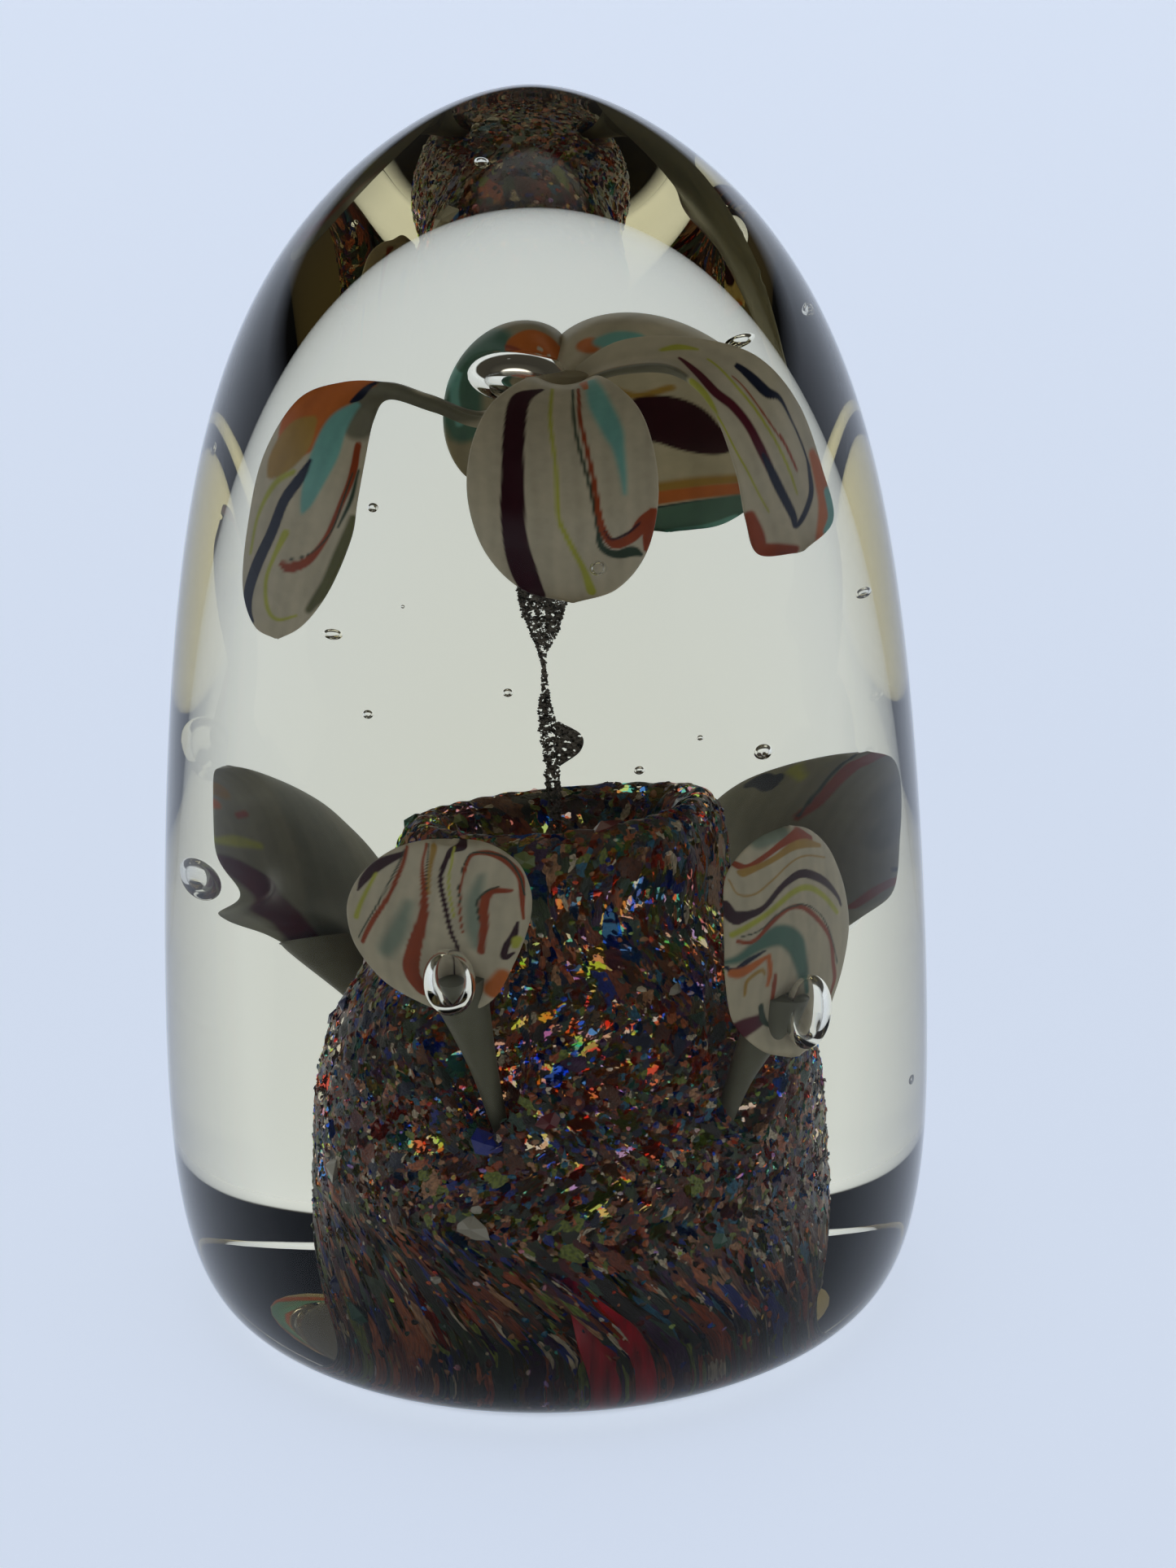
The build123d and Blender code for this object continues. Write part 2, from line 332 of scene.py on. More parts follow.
# Each lily: its stem's foot, where its stem meets the sheet, its throat bubble's centre, half width and half
# length, and the sheet's left and right edges from the throat up to the tip, all in millimetres.
LILIES = {
    "lily_front_left": dict(
        foot=(-3.6, -13.2, 25.8), throat=(-6.9, -17.4, 42.0), bubble=(-7.9, -20.0, 43.9, 2.2, 3.4),
        left=[(-7.9, -18.6, 40.2), (-10.0, -17.3, 40.9), (-12.9, -15.6, 42.7), (-14.9, -14.1, 45.6),
              (-15.6, -13.8, 48.6),
              (-15.4, -14.3, 51.2), (-14.3, -15.7, 54.0), (-12.2, -17.6, 56.6), (-9.8, -19.2, 58.0),
              (-7.6, -20.1, 58.4)],
        right=[(-7.2, -18.9, 40.2), (-5.2, -19.3, 41.2), (-3.9, -19.7, 42.8), (-2.6, -20.2, 45.9),
               (-1.7, -20.5, 48.5),
               (-1.1, -20.9, 51.4), (-1.2, -21.1, 53.8), (-2.2, -21.2, 56.4), (-4.6, -20.9, 58.2),
               (-7.3, -20.2, 58.5)]),
    "lily_front_right": dict(
        foot=(12.8, -9.9, 23.6), throat=(17.4, -9.2, 36.4), bubble=(20.3, -9.2, 35.8, 2.1, 3.9),
        left=[(18.6, -8.3, 30.9), (16.7, -11.5, 33.0), (14.8, -14.3, 36.9), (14.3, -15.4, 41.5),
              (14.3, -15.8, 45.6),
              (14.3, -16.0, 49.4), (14.5, -16.1, 52.4), (15.4, -15.3, 54.2), (17.0, -13.8, 55.6),
              (18.9, -11.2, 55.9)],
        right=[(19.0, -7.5, 30.7), (20.2, -4.6, 31.6), (20.7, -2.9, 34.4), (21.1, -0.8, 37.4),
               (21.3, 0.5, 41.0),
               (21.5, -0.6, 44.6), (21.5, -2.4, 48.0), (21.2, -5.0, 51.6), (20.4, -8.0, 54.4),
               (19.2, -10.9, 55.9)]),
    "lily_right": dict(
        foot=(9.6, 10.3, 25.8), throat=(13.0, 15.8, 36.5), bubble=(14.6, 18.2, 37.5, 1.9, 3.0),
        left=[(12.8, 18.8, 31.5), (11.2, 20.0, 34.5), (9.6, 21.0, 38.0), (8.6, 21.6, 42.0), (8.4, 21.8, 46.0),
              (8.8, 21.7, 49.4), (10.4, 21.1, 52.0), (12.6, 19.8, 53.6), (15.0, 18.1, 54.5),
              (17.0, 16.2, 54.8)],
        right=[(13.2, 18.5, 31.5), (15.4, 17.3, 34.6), (17.6, 15.3, 37.6), (20.2, 12.2, 40.0),
               (21.8, 9.8, 43.0),
               (22.2, 9.4, 46.0), (21.9, 10.4, 49.0), (21.0, 12.0, 51.8), (19.6, 13.8, 53.8),
               (17.6, 15.7, 54.8)]),
    "lily_left": dict(
        foot=(-8.2, 9.2, 25.8), throat=(-12.0, 15.0, 36.5), bubble=(-22.0, 8.0, 44.6, 1.6, 2.1),
        left=[(-11.2, 18.8, 31.3), (-12.8, 17.9, 34.6), (-15.4, 15.7, 37.6), (-18.6, 12.2, 39.6),
              (-20.8, 8.2, 42.0),
              (-21.4, 6.4, 46.0), (-21.4, 6.2, 50.0), (-21.0, 7.2, 53.6), (-19.9, 9.8, 55.6),
              (-18.6, 12.0, 55.8)],
        right=[(-10.8, 19.1, 31.3), (-10.0, 19.5, 34.0), (-8.9, 20.0, 37.0), (-8.2, 20.3, 40.0),
               (-8.2, 20.3, 43.0),
               (-9.2, 20.0, 46.0), (-10.4, 19.4, 48.6), (-12.2, 18.3, 51.6), (-14.8, 16.2, 54.0),
               (-18.2, 12.6, 55.8)]),
}
# x, y, z and radius of the small bubbles, in millimetres
SEED_BUBBLES = [
    (-12.2, -8.0, 86.8, 0.42), (-2.4, -8.0, 69.5, 0.40), (-12.8, -8.0, 67.4, 0.42), (7.1, -8.0, 61.6, 0.40),
    (16.6, -8.0, 62.7, 0.75), (11.7, -8.0, 64.5, 0.25), (-10.0, -8.0, 77.7, 0.16), (-9.0, -16.0, 55.0, 0.3),
    (20.2, -8.9, 83.0, 0.75), (4.9, -20.6, 84.2, 0.7), (19.5, 10.3, 72.0, 0.5), (-11.0, 19.0, 68.0, 0.5),
    (-2.4, 13.8, 108.0, 0.4), (-30.0, 4.3, 28.0, 0.5), (30.0, -3.2, 24.0, 0.5), (9.0, 24.0, 90.0, 0.45),
    (-6.0, 26.0, 46.0, 0.5), (3.0, 30.0, 70.0, 0.4),
]


def clear_glass_material(settings):
    """Cast soda-lime glass, fire polished: clear, with a faint grey-green cast that deepens with thickness."""
    material, tree, output = new_material("fire_polished_clear_glass")
    # Painted shade: seen from outside, the glass darkens towards its outline, standing in for its dark edges. Seen
    # from inside, where light turns back, it isn't darkened.
    rim = add_node(tree, "ShaderNodeLayerWeight", {"Blend": 0.5})
    side = add_node(tree, "ShaderNodeNewGeometry")
    front = add_node(tree, "ShaderNodeMath", {0: 1.0, 1: side.outputs["Backfacing"]}, operation="SUBTRACT")
    outside = add_node(tree, "ShaderNodeMath", {0: rim.outputs["Facing"], 1: front.outputs["Value"]},
                       operation="MULTIPLY")
    tone = add_node(tree, "ShaderNodeValToRGB", {"Fac": outside.outputs["Value"]})
    set_ramp(tone, [(0.42, (1, 1, 1, 1)), (0.86, rgba("#4a4846"))])
    place = add_node(tree, "ShaderNodeTexCoord")
    # Swirl lines left by each gather are a centimetre or two apart and very shallow.
    cord = add_node(tree, "ShaderNodeTexNoise", {"Vector": place.outputs["Object"], "Scale": 60.0, "Detail": 1.0})
    bump = add_node(tree, "ShaderNodeBump", {"Height": cord.outputs["Fac"], "Strength": 0.012, "Distance": 0.001})
    # The low specular tint keeps the pale room off the front of the glass.
    glass = add_node(tree, "ShaderNodeBsdfPrincipled", {
        "Base Color": tone.outputs["Color"], "Roughness": 0.0, "IOR": 1.5, "Transmission Weight": 1.0,
        "Specular Tint": (0.08, 0.08, 0.08, 1.0),
        "Normal": bump.outputs["Normal"],
    })
    tint = add_node(tree, "ShaderNodeVolumeAbsorption", {"Color": (*settings.glass_tint, 1.0), "Density": 6.0})
    tree.links.new(glass.outputs["BSDF"], output.inputs["Surface"])
    tree.links.new(tint.outputs["Volume"], output.inputs["Volume"])
    return material


class PAPERWEIGHT_OT_casing(bpy.types.Operator):
    """Builds the clear egg with its ground base and the air bubbles inside"""

    bl_idname = "paperweight.casing"
    bl_label = "Clear casing"

    def execute(self, context):
        sizes = context.scene.paperweight_sizes
        profile = casing_profile(sizes)
        columns = sizes.casing_segments
        angle = np.arange(columns) * 2 * math.pi / columns
        ring = np.stack([np.cos(angle), np.sin(angle)], -1)
        points = [np.concatenate([ring * r, np.full((columns, 1), z)], 1) for r, z in profile]
        inner = [np.concatenate([ring * sizes.base_radius * share, np.zeros((columns, 1))], 1)
                 for share in (0.5, 0.96)]
        points = np.vstack([[(0, 0, 0)], *inner, *points, [(0, 0, CASING_HEIGHT)]])
        rows = len(profile) + len(inner)
        faces = grid_faces(rows, columns, 1)
        top = len(points) - 1
        last = top - columns
        for j in range(columns):
            k = (j + 1) % columns
            faces.append([0, 1 + k, 1 + j])
            faces.append([top, last + j, last + k])
        points = points.tolist()
        bubbles = [(c, r, r, (0, 0, 1)) for *c, r in SEED_BUBBLES]
        bubbles.append(((-0.9, 0.9, 95.4), 3.6, 2.0, (0.1, 0.0, 1.0)))
        for lily in LILIES.values():
            *centre, half_width, half_length = lily["bubble"]
            bubbles.append((centre, half_width, half_length, (0, 0, 1)))
        for centre, half_width, half_height, axis in bubbles:
            more, more_faces = bubble(centre, half_width, half_height, axis, len(points))
            points += [list(p) for p in more]
            faces += more_faces
        material = clear_glass_material(context.scene.paperweight_colours)
        casing = make_object("clear_glass_casing", points, faces, material)
        mark_sharp_ring(casing.data, 1 + len(inner) * columns, columns)
        finish_piece(casing, "clear_glass", "clear_casing", "clear_core")
        # The casing casts no shadow, so the soft light falls straight on the pieces inside it.
        casing.visible_shadow = False
        return {"FINISHED"}


def mark_sharp_ring(mesh, start, columns):
    """Keeps the ground edge crisp: the ring of edges that starts at a vertex is not smoothed."""
    keys = np.empty(len(mesh.edges) * 2, int)
    mesh.edges.foreach_get("vertices", keys)
    keys = keys.reshape(-1, 2)
    inside = ((keys >= start) & (keys < start + columns)).all(1)
    sharp = mesh.attributes.new("sharp_edge", "BOOLEAN", "EDGE")
    sharp.data.foreach_set("value", inside)


# ---------------------------------------------------------------- pot of crushed glass


def pot_profile():
    """Radius and height of the pot from the base, over the rim and down into the dip."""
    top = POT_HEIGHT
    return spline([(15.3, POT_FOOT), (16.4, 4.0), (17.2, 10.0), (17.4, 18.0), (17.3, 26.0), (16.4, 32.0),
                   (14.7, 37.0),
                   (12.6, 42.0), (11.5, 46.5), (11.2, 51.0), (10.8, top - 2.0), (9.6, top - 0.2),
                   (8.2, top - 0.9),
                   (7.0, top - 3.4), (5.2, top - 6.0), (2.6, top - 7.3), (0.3, top - 7.5)], 300)


def pit_drop(points):
    """Draws the pot's surface down into the pit of each lily's stem, along the stem."""
    half_angle = math.radians(21)
    moved = points.copy()
    for lily in LILIES.values():
        foot = np.array(lily["foot"])
        axis = unit(np.array(lily["throat"]) - foot)
        side = unit(np.cross((0, 0, 1), axis))
        across = np.cross(side, axis)
        d = moved - foot
        out, lateral, along = d @ across, d @ side, d @ axis
        reach = np.hypot(lateral, np.where(out > 0, 0.42 * out, out))
        floor = -0.7 + np.maximum(reach - 0.5, 0) / math.tan(half_angle)
        deep = np.clip(along - floor, 0, None)
        near = (np.abs(lateral) < 9) & (out > -8) & (out < 9) & (along > -1.5)
        moved -= (np.where(near, deep, 0))[:, None] * axis
    return moved


def pot_points():
    """The pot's outer surface as a grid of rings: a little uneven, with a rim that leans."""
    profile = pot_profile()
    angle = np.arange(POT_COLUMNS) * 2 * math.pi / POT_COLUMNS
    radius, height = profile[:, :1], profile[:, 1:]
    wobble = 1 + 0.012 * np.sin(3 * angle + height * 0.08) + 0.008 * np.sin(5 * angle - height * 0.15 + 1.0)
    x = radius * np.cos(angle) * wobble
    y = radius * np.sin(angle) * wobble
    lean = np.clip((height - 40) / 16, 0, 1)
    z = height + lean * (0.11 * x - 0.02 * y)
    x = x + POT_OFFSET
    points = np.stack([x, y, z], -1)
    return pit_drop(points.reshape(-1, 3)).reshape(points.shape)


def mesh_normals(points):
    """Outward normals of a grid of rings."""
    along = np.gradient(points, axis=0)
    around = np.roll(points, -1, 1) - np.roll(points, 1, 1)
    return unit(np.cross(around, along))


def grain_space(points):
    """Where each point lies in the chips' own space: squeezed upright where the glass was pulled long."""
    x, y, z = points[..., 0] - POT_OFFSET, points[..., 1], points[..., 2]
    heights = np.linspace(0, 60, 241)
    pull = np.interp(heights, [0, 8, 13, 28, 36, 42, 52, 56, 60], [6.0, 4.4, 1.5, 1.1, 1.6, 2.6, 2.8, 1.4, 1.1])
    squeezed = np.concatenate([[0], np.cumsum(0.25 / pull[1:])])
    turn = np.interp(z, [0, 4, 9, 16, 30, 60], [-0.52, -0.46, -0.26, 0.0, 0.0, 0.05])
    turn = turn + 0.05 * np.sin(z * 0.35 + 2 * np.arctan2(y, x))
    c, s = np.cos(turn), np.sin(turn)
    return np.stack([x * c - y * s, x * s + y * c, np.interp(z, heights, squeezed)], -1)


FRIT = ["#120b08", "#3a1a0e", "#5e2812", "#1c1c10", "#7a3418", "#0c1024", "#26301a", "#43210f", "#101c60", "#3d0d12",
        "#8a6244", "#54301a", "#17110e", "#5c6424", "#1c4a60", "#8a4a2a", "#1d241c", "#a0927c", "#2c1030", "#2a3a30"]
CLEAR_FRIT = ["#fff2dc", "#ffcfae", "#d6f27a", "#66a8ff", "#ff8a60", "#fffaf0", "#f8b4c4", "#ffe68a", "#8af0e0",
              "#ffac60", "#dcb8ff", "#fff4e0", "#3a70ff", "#eaffa0", "#ff6a58", "#ffeaea"]


def colour_steps(tree, value, codes):
    """A ramp that gives each share of a random value its own colour."""
    ramp = add_node(tree, "ShaderNodeValToRGB", {"Fac": value})
    ramp.color_ramp.interpolation = "CONSTANT"
    set_ramp(ramp, [(i / len(codes), rgba(code)) for i, code in enumerate(codes)])
    return ramp


def frit_material():
    """Fused crushed glass: dark opaque chips with clear coloured ones between that let light through."""
    material, tree, output = new_material("fused_frit")
    grain = add_node(tree, "ShaderNodeAttribute", attribute_name="grain")
    thin = add_node(tree, "ShaderNodeAttribute", attribute_name="thin")
    wander = add_node(tree, "ShaderNodeTexNoise", {"Vector": grain.outputs["Vector"], "Scale": 1.3, "Detail": 3.0})
    shift = add_node(tree, "ShaderNodeVectorMath", {0: wander.outputs["Color"], 1: (0.5, 0.5, 0.5)},
                     operation="SUBTRACT")
    spread = add_node(tree, "ShaderNodeVectorMath", {0: shift.outputs["Vector"], "Scale": 1.3}, operation="SCALE")
    moved = add_node(tree, "ShaderNodeVectorMath", {0: grain.outputs["Vector"], 1: spread.outputs["Vector"]},
                     operation="ADD")
    # Most chips are about half a millimetre across. Some are over one millimetre.
    small = add_node(tree, "ShaderNodeTexVoronoi", {"Vector": moved.outputs["Vector"], "Scale": 1.9})
    large = add_node(tree, "ShaderNodeTexVoronoi", {"Vector": moved.outputs["Vector"], "Scale": 0.75})
    large_draw = add_node(tree, "ShaderNodeSeparateColor", {"Color": large.outputs["Color"]})
    is_large = add_node(tree, "ShaderNodeMath", {0: large_draw.outputs["Red"], 1: 0.27}, operation="LESS_THAN")
    cells = add_node(tree, "ShaderNodeMix", {"Factor": is_large.outputs["Value"], 6: small.outputs["Color"],
                                             7: large.outputs["Color"]}, data_type="RGBA")
    draw = add_node(tree, "ShaderNodeSeparateColor", {"Color": cells.outputs[2]})
    dark = colour_steps(tree, draw.outputs["Green"], FRIT)
    bright = colour_steps(tree, draw.outputs["Green"], CLEAR_FRIT)
    is_clear = add_node(tree, "ShaderNodeMath", {0: draw.outputs["Blue"], 1: thin.outputs["Fac"]},
                        operation="LESS_THAN")
    fine = add_node(tree, "ShaderNodeTexNoise", {"Vector": grain.outputs["Vector"], "Scale": 5.0, "Detail": 4.0})
    shade = add_node(tree, "ShaderNodeMapRange", {"Value": fine.outputs["Fac"], "From Min": 0.3, "From Max": 0.7,
                                                  "To Min": 0.35, "To Max": 1.5})
    tone = add_node(tree, "ShaderNodeVectorMath", {0: dark.outputs["Color"], "Scale": shade.outputs["Result"]},
                    operation="SCALE")
    bump = add_node(tree, "ShaderNodeBump", {"Height": fine.outputs["Fac"], "Strength": 0.6, "Distance": 0.0003})
    solid = add_node(tree, "ShaderNodeBsdfPrincipled", {
        "Base Color": tone.outputs["Vector"], "Roughness": 0.3, "Specular IOR Level": 0.3,
        "Normal": bump.outputs["Normal"],
    })
    # A clear chip tints the light once, where it enters the skin, and lets it leave untinted.
    side = add_node(tree, "ShaderNodeNewGeometry")
    tint = add_node(tree, "ShaderNodeMix", {"Factor": side.outputs["Backfacing"], 6: bright.outputs["Color"],
                                            7: (1.0, 1.0, 1.0, 1.0)}, data_type="RGBA")
    through = add_node(tree, "ShaderNodeBsdfTransparent", {"Color": tint.outputs[2]})
    glow = add_node(tree, "ShaderNodeBsdfTranslucent", {"Color": bright.outputs["Color"]})
    clear = add_node(tree, "ShaderNodeMixShader", {"Fac": 0.1, 1: through.outputs["BSDF"], 2: glow.outputs["BSDF"]})
    mix = add_node(tree, "ShaderNodeMixShader", {"Fac": is_clear.outputs["Value"], 1: solid.outputs["BSDF"],
                                                 2: clear.outputs["Shader"]})
    tree.links.new(mix.outputs["Shader"], output.inputs["Surface"])
    return material


def store_values(obj, name, kind, values):
    """Keeps a number or a vector at each point of the mesh."""
    attribute = obj.data.attributes.new(name, kind, "POINT")
    field = "vector" if kind == "FLOAT_VECTOR" else "value"
    attribute.data.foreach_set(field, np.asarray(values, np.float32).ravel())


def thin_share(points):
    """How thinly the crushed glass is spread: most on the drawn-out neck, least at the foot."""
    height = points[..., 2]
    azimuth = np.degrees(np.arctan2(points[..., 0] - POT_OFFSET, -points[..., 1]))
    share = np.interp(height, [0, 8, 16, 26, 34, 40, 52, 57], [0.14, 0.2, 0.4, 0.5, 0.6, 0.68, 0.62, 0.42])
    return share * (0.86 + 0.14 * np.cos(np.radians(azimuth - 12)))


class PAPERWEIGHT_OT_pot(bpy.types.Operator):
    """Builds the skin of crushed glass, with its dip and the pits that the lilies stand in"""

    bl_idname = "paperweight.pot"
    bl_label = "Pot of crushed glass"

    def execute(self, context):
        sizes = context.scene.paperweight_sizes
        outer = pot_points()
        rows, columns = outer.shape[:2]
        normals = mesh_normals(outer)
        lumps = grain_space(outer)
        rough = (np.sin(lumps[..., 0] * 2.3 + 1.1 * np.sin(lumps[..., 2] * 2.9))
                 * np.sin(lumps[..., 1] * 2.6 + np.sin(lumps[..., 2] * 2.2 + 1.0)))
        outer = outer + normals * (0.14 * rough)[..., None]
        outer[0, :, 2] = POT_FOOT
        inner = outer - normals * sizes.pot_skin
        inner[0, :, 2] = POT_FOOT
        inner[..., 2] = np.maximum(inner[..., 2], POT_FOOT)
        points = np.concatenate([outer, inner[::-1]]).reshape(-1, 3)
        faces = [f for f in grid_faces(2 * rows, columns) if f[0] // columns != rows - 1]
        last = (2 * rows - 1) * columns
        faces += [[last + j, last + (j + 1) % columns, (j + 1) % columns, j] for j in range(columns)]
        faces.append([(rows - 1) * columns + j for j in range(columns)])
        faces.append([rows * columns + j for j in range(columns)][::-1])
        pot = make_object("crushed_glass_pot", points, faces, frit_material())
        both = np.concatenate([outer, outer[::-1]]).reshape(-1, 3)
        store_values(pot, "grain", "FLOAT_VECTOR", grain_space(both))
        store_values(pot, "thin", "FLOAT", thin_share(both))
        finish_piece(pot, "crushed_glass", "frit_pot")
        return {"FINISHED"}


def chip_tree(name, chip, material, count, size, seed):
    """A tree of geometry nodes that sets flat chips on a surface, each with a random turn and size."""
    tree = bpy.data.node_groups.new(name, "GeometryNodeTree")
    face = tree.interface
    face.new_socket("Geometry", in_out="INPUT", socket_type="NodeSocketGeometry")
    count_socket = face.new_socket("Count", in_out="INPUT", socket_type="NodeSocketInt")
    size_socket = face.new_socket("Size", in_out="INPUT", socket_type="NodeSocketFloat")
    face.new_socket("Geometry", in_out="OUTPUT", socket_type="NodeSocketGeometry")
    start = add_node(tree, "NodeGroupInput")
    end = add_node(tree, "NodeGroupOutput")
    spots = add_node(tree, "GeometryNodeDistributePointsOnFaces", {
        "Mesh": start.outputs["Geometry"], "Density": start.outputs["Count"], "Seed": seed})
    shape = add_node(tree, "GeometryNodeObjectInfo", {"Object": chip})
    spin = add_node(tree, "FunctionNodeRandomValue", {"Min": (-0.25, -0.25, -3.14), "Max": (0.25, 0.25, 3.14),
                                                      "Seed": seed + 1}, data_type="FLOAT_VECTOR")
    turned = add_node(tree, "FunctionNodeRotateRotation", {
        "Rotation": spots.outputs["Rotation"], "Rotate By": spin.outputs["Value"]}, rotation_space="LOCAL")
    low = add_node(tree, "ShaderNodeMath", {0: start.outputs["Size"], 1: 0.5}, operation="MULTIPLY")
    high = add_node(tree, "ShaderNodeMath", {0: start.outputs["Size"], 1: 1.6}, operation="MULTIPLY")
    scale = add_node(tree, "FunctionNodeRandomValue", {2: low.outputs["Value"], 3: high.outputs["Value"],
                                                       "Seed": seed + 2}, data_type="FLOAT")
    placed = add_node(tree, "GeometryNodeInstanceOnPoints", {
        "Points": spots.outputs["Points"], "Instance": shape.outputs["Geometry"],
        "Rotation": turned.outputs["Rotation"], "Scale": scale.outputs[1]})
    pick = add_node(tree, "FunctionNodeRandomValue", {"Seed": seed + 3}, data_type="FLOAT")
    keep = add_node(tree, "GeometryNodeStoreNamedAttribute", {
        "Geometry": placed.outputs["Instances"], "Name": "pick", "Value": pick.outputs[1]},
        data_type="FLOAT", domain="INSTANCE")
    real = add_node(tree, "GeometryNodeRealizeInstances", {"Geometry": keep.outputs["Geometry"]})
    made = add_node(tree, "GeometryNodeSetMaterial", {"Geometry": real.outputs["Geometry"], "Material": material})
    tree.links.new(made.outputs["Geometry"], end.inputs["Geometry"])
    return tree, {count_socket.identifier: count, size_socket.identifier: size}


def scatter(name, base, chip, material, count, size, seed):
    """Scatters chips over a copy of a surface and returns them as one plain mesh object."""
    area = sum(p.area for p in base.data.polygons)
    tree, values = chip_tree(name + "_nodes", chip, material, int(count / area), size * MM, seed)
    carrier = bpy.data.objects.new(name, base.data.copy())
    bpy.context.scene.collection.objects.link(carrier)
    modifier = carrier.modifiers.new("Scatter", "NODES")
    modifier.node_group = tree
    for identifier, value in values.items():
        modifier[identifier] = value
    carrier.update_tag()
    bpy.context.view_layer.update()
    evaluated = carrier.evaluated_get(bpy.context.evaluated_depsgraph_get())
    mesh = bpy.data.meshes.new_from_object(evaluated)
    carrier.modifiers.remove(modifier)
    old = carrier.data
    carrier.data = mesh
    mesh.name = name
    bpy.data.meshes.remove(old)
    return carrier


def chip_shape(name, width, length, height):
    """A flat chip with a few facets, one unit long: six corners between two points."""
    corners = [(0.5 * width * math.cos(a) * s, 0.5 * length * math.sin(a) * s, z)
               for a, s, z in zip(np.arange(6) * math.pi / 3 + 0.2, (1, 0.85, 1.05, 0.9, 1, 0.8),
                                  (0.02, -0.03, 0.03, 0, -0.02, 0.02))]
    points = [(0.05 * width, 0, height), *corners, (0, 0.04, -height)]
    faces = [[0, 1 + j, 1 + (j + 1) % 6] for j in range(6)] + [[7, 1 + (j + 1) % 6, 1 + j] for j in range(6)]
    mesh = bpy.data.meshes.new(name)
    mesh.from_pydata(points, [], faces)
    return bpy.data.objects.new(name, mesh)


def loose_chip_material(name, codes, clear):
    """Single chips of frit that stand proud: opaque, or clear and tinted."""
    material, tree, output = new_material(name)
    pick = add_node(tree, "ShaderNodeAttribute", attribute_name="pick")
    tone = colour_steps(tree, pick.outputs["Fac"], codes)
    solid = add_node(tree, "ShaderNodeBsdfPrincipled", {"Base Color": tone.outputs["Color"], "Roughness": 0.25,
                                                        "Specular IOR Level": 0.4})
    glass = add_node(tree, "ShaderNodeBsdfTransparent", {"Color": tone.outputs["Color"]})
    mix = add_node(tree, "ShaderNodeMixShader", {"Fac": clear, 1: solid.outputs["BSDF"], 2: glass.outputs["BSDF"]})
    tree.links.new(mix.outputs["Shader"], output.inputs["Surface"])
    return material


class PAPERWEIGHT_OT_chips(bpy.types.Operator):
    """Scatters raised chips over the pot, in opaque and in clear glass"""

    bl_idname = "paperweight.chips"
    bl_label = "Raised chips"

    def execute(self, context):
        sizes = context.scene.paperweight_sizes
        pot = bpy.data.objects["crushed_glass_pot"]
        skin = outer_copy(pot)
        flat = chip_shape("chip_shape", 0.7, 1.0, 0.18)
        kinds = [
            ("raised_dark_chips", FRIT, 0.0, sizes.chip_count, sizes.chip_size, 11),
            ("raised_clear_chips", CLEAR_FRIT, 0.75, sizes.chip_count // 4, 0.8 * sizes.chip_size, 23),
        ]
        for name, codes, clear, count, size, seed in kinds:
            material = loose_chip_material(name.replace("raised", "loose"), codes, clear)
            chips = scatter(name, skin, flat, material, count, size, seed)
            finish_piece(chips, "chip_glass")
        coarse = chip_shape("coarse_shape", 0.75, 1.0, 0.2)
        material = loose_chip_material("coarse_frit_lumps", ["#9a9488", "#141f6a", "#55602a", "#7a7468", "#0c1440",
                                                             "#8a8478", "#4a1016", "#2a4a3c"], 0.0)
        lumps = scatter("coarse_lumps", skin, coarse, material, 46, 2.3, 5)
        finish_piece(lumps, "chip_glass", "coarse_chips")
        bpy.data.objects.remove(skin)
        return {"FINISHED"}


def outer_copy(pot):
    """The outer face of the pot's skin, without its foot and the middle of its dip, to set chips on."""
    mesh = pot.data.copy()
    first, last = POT_COLUMNS * 4, POT_COLUMNS * (len(pot_profile()) - 6)
    points = np.empty(len(mesh.vertices) * 3)
    mesh.vertices.foreach_get("co", points)
    points = points.reshape(-1, 3)
    faces = [list(p.vertices) for p in mesh.polygons
             if len(p.vertices) == 4 and max(p.vertices) < last and min(p.vertices) > first]
    fresh = bpy.data.meshes.new("pot_outside")
    fresh.from_pydata(points.tolist(), [], faces)
    return bpy.data.objects.new("pot_outside", fresh)


class PAPERWEIGHT_OT_smear(bpy.types.Operator):
    """Builds the smear of deep red glass at the foot of the pot"""

    bl_idname = "paperweight.smear"
    bl_label = "Red smear"

    def execute(self, context):
        # Each edge's points are a radius in millimetres, an azimuth in degrees and a height in millimetres.
        left = [(14.6, -4.0, 11.2), (15.5, 0.0, 8.6), (15.9, 2.0, 5.4), (15.6, 5.0, 2.4), (15.2, 6.0, 0.5)]
        right = [(14.9, 0.0, 12.0), (16.0, 9.0, 9.4), (16.1, 18.0, 6.6), (15.7, 23.0, 3.2), (15.3, 25.0, 0.5)]
        clear_of_skin = 1.25
        edges = [[outward(azimuth, radius + clear_of_skin, height) + (POT_OFFSET, 0, 0)
                  for radius, azimuth, height in side] for side in (left, right)]
        sheet, *_ = leaf(*edges, 0.35, 0.7, 60, 60)
        smear = make_object("red_glass_smear", *sheet, red_glass_material())
        finish_piece(smear, "red_glass", "red_smear")
        return {"FINISHED"}


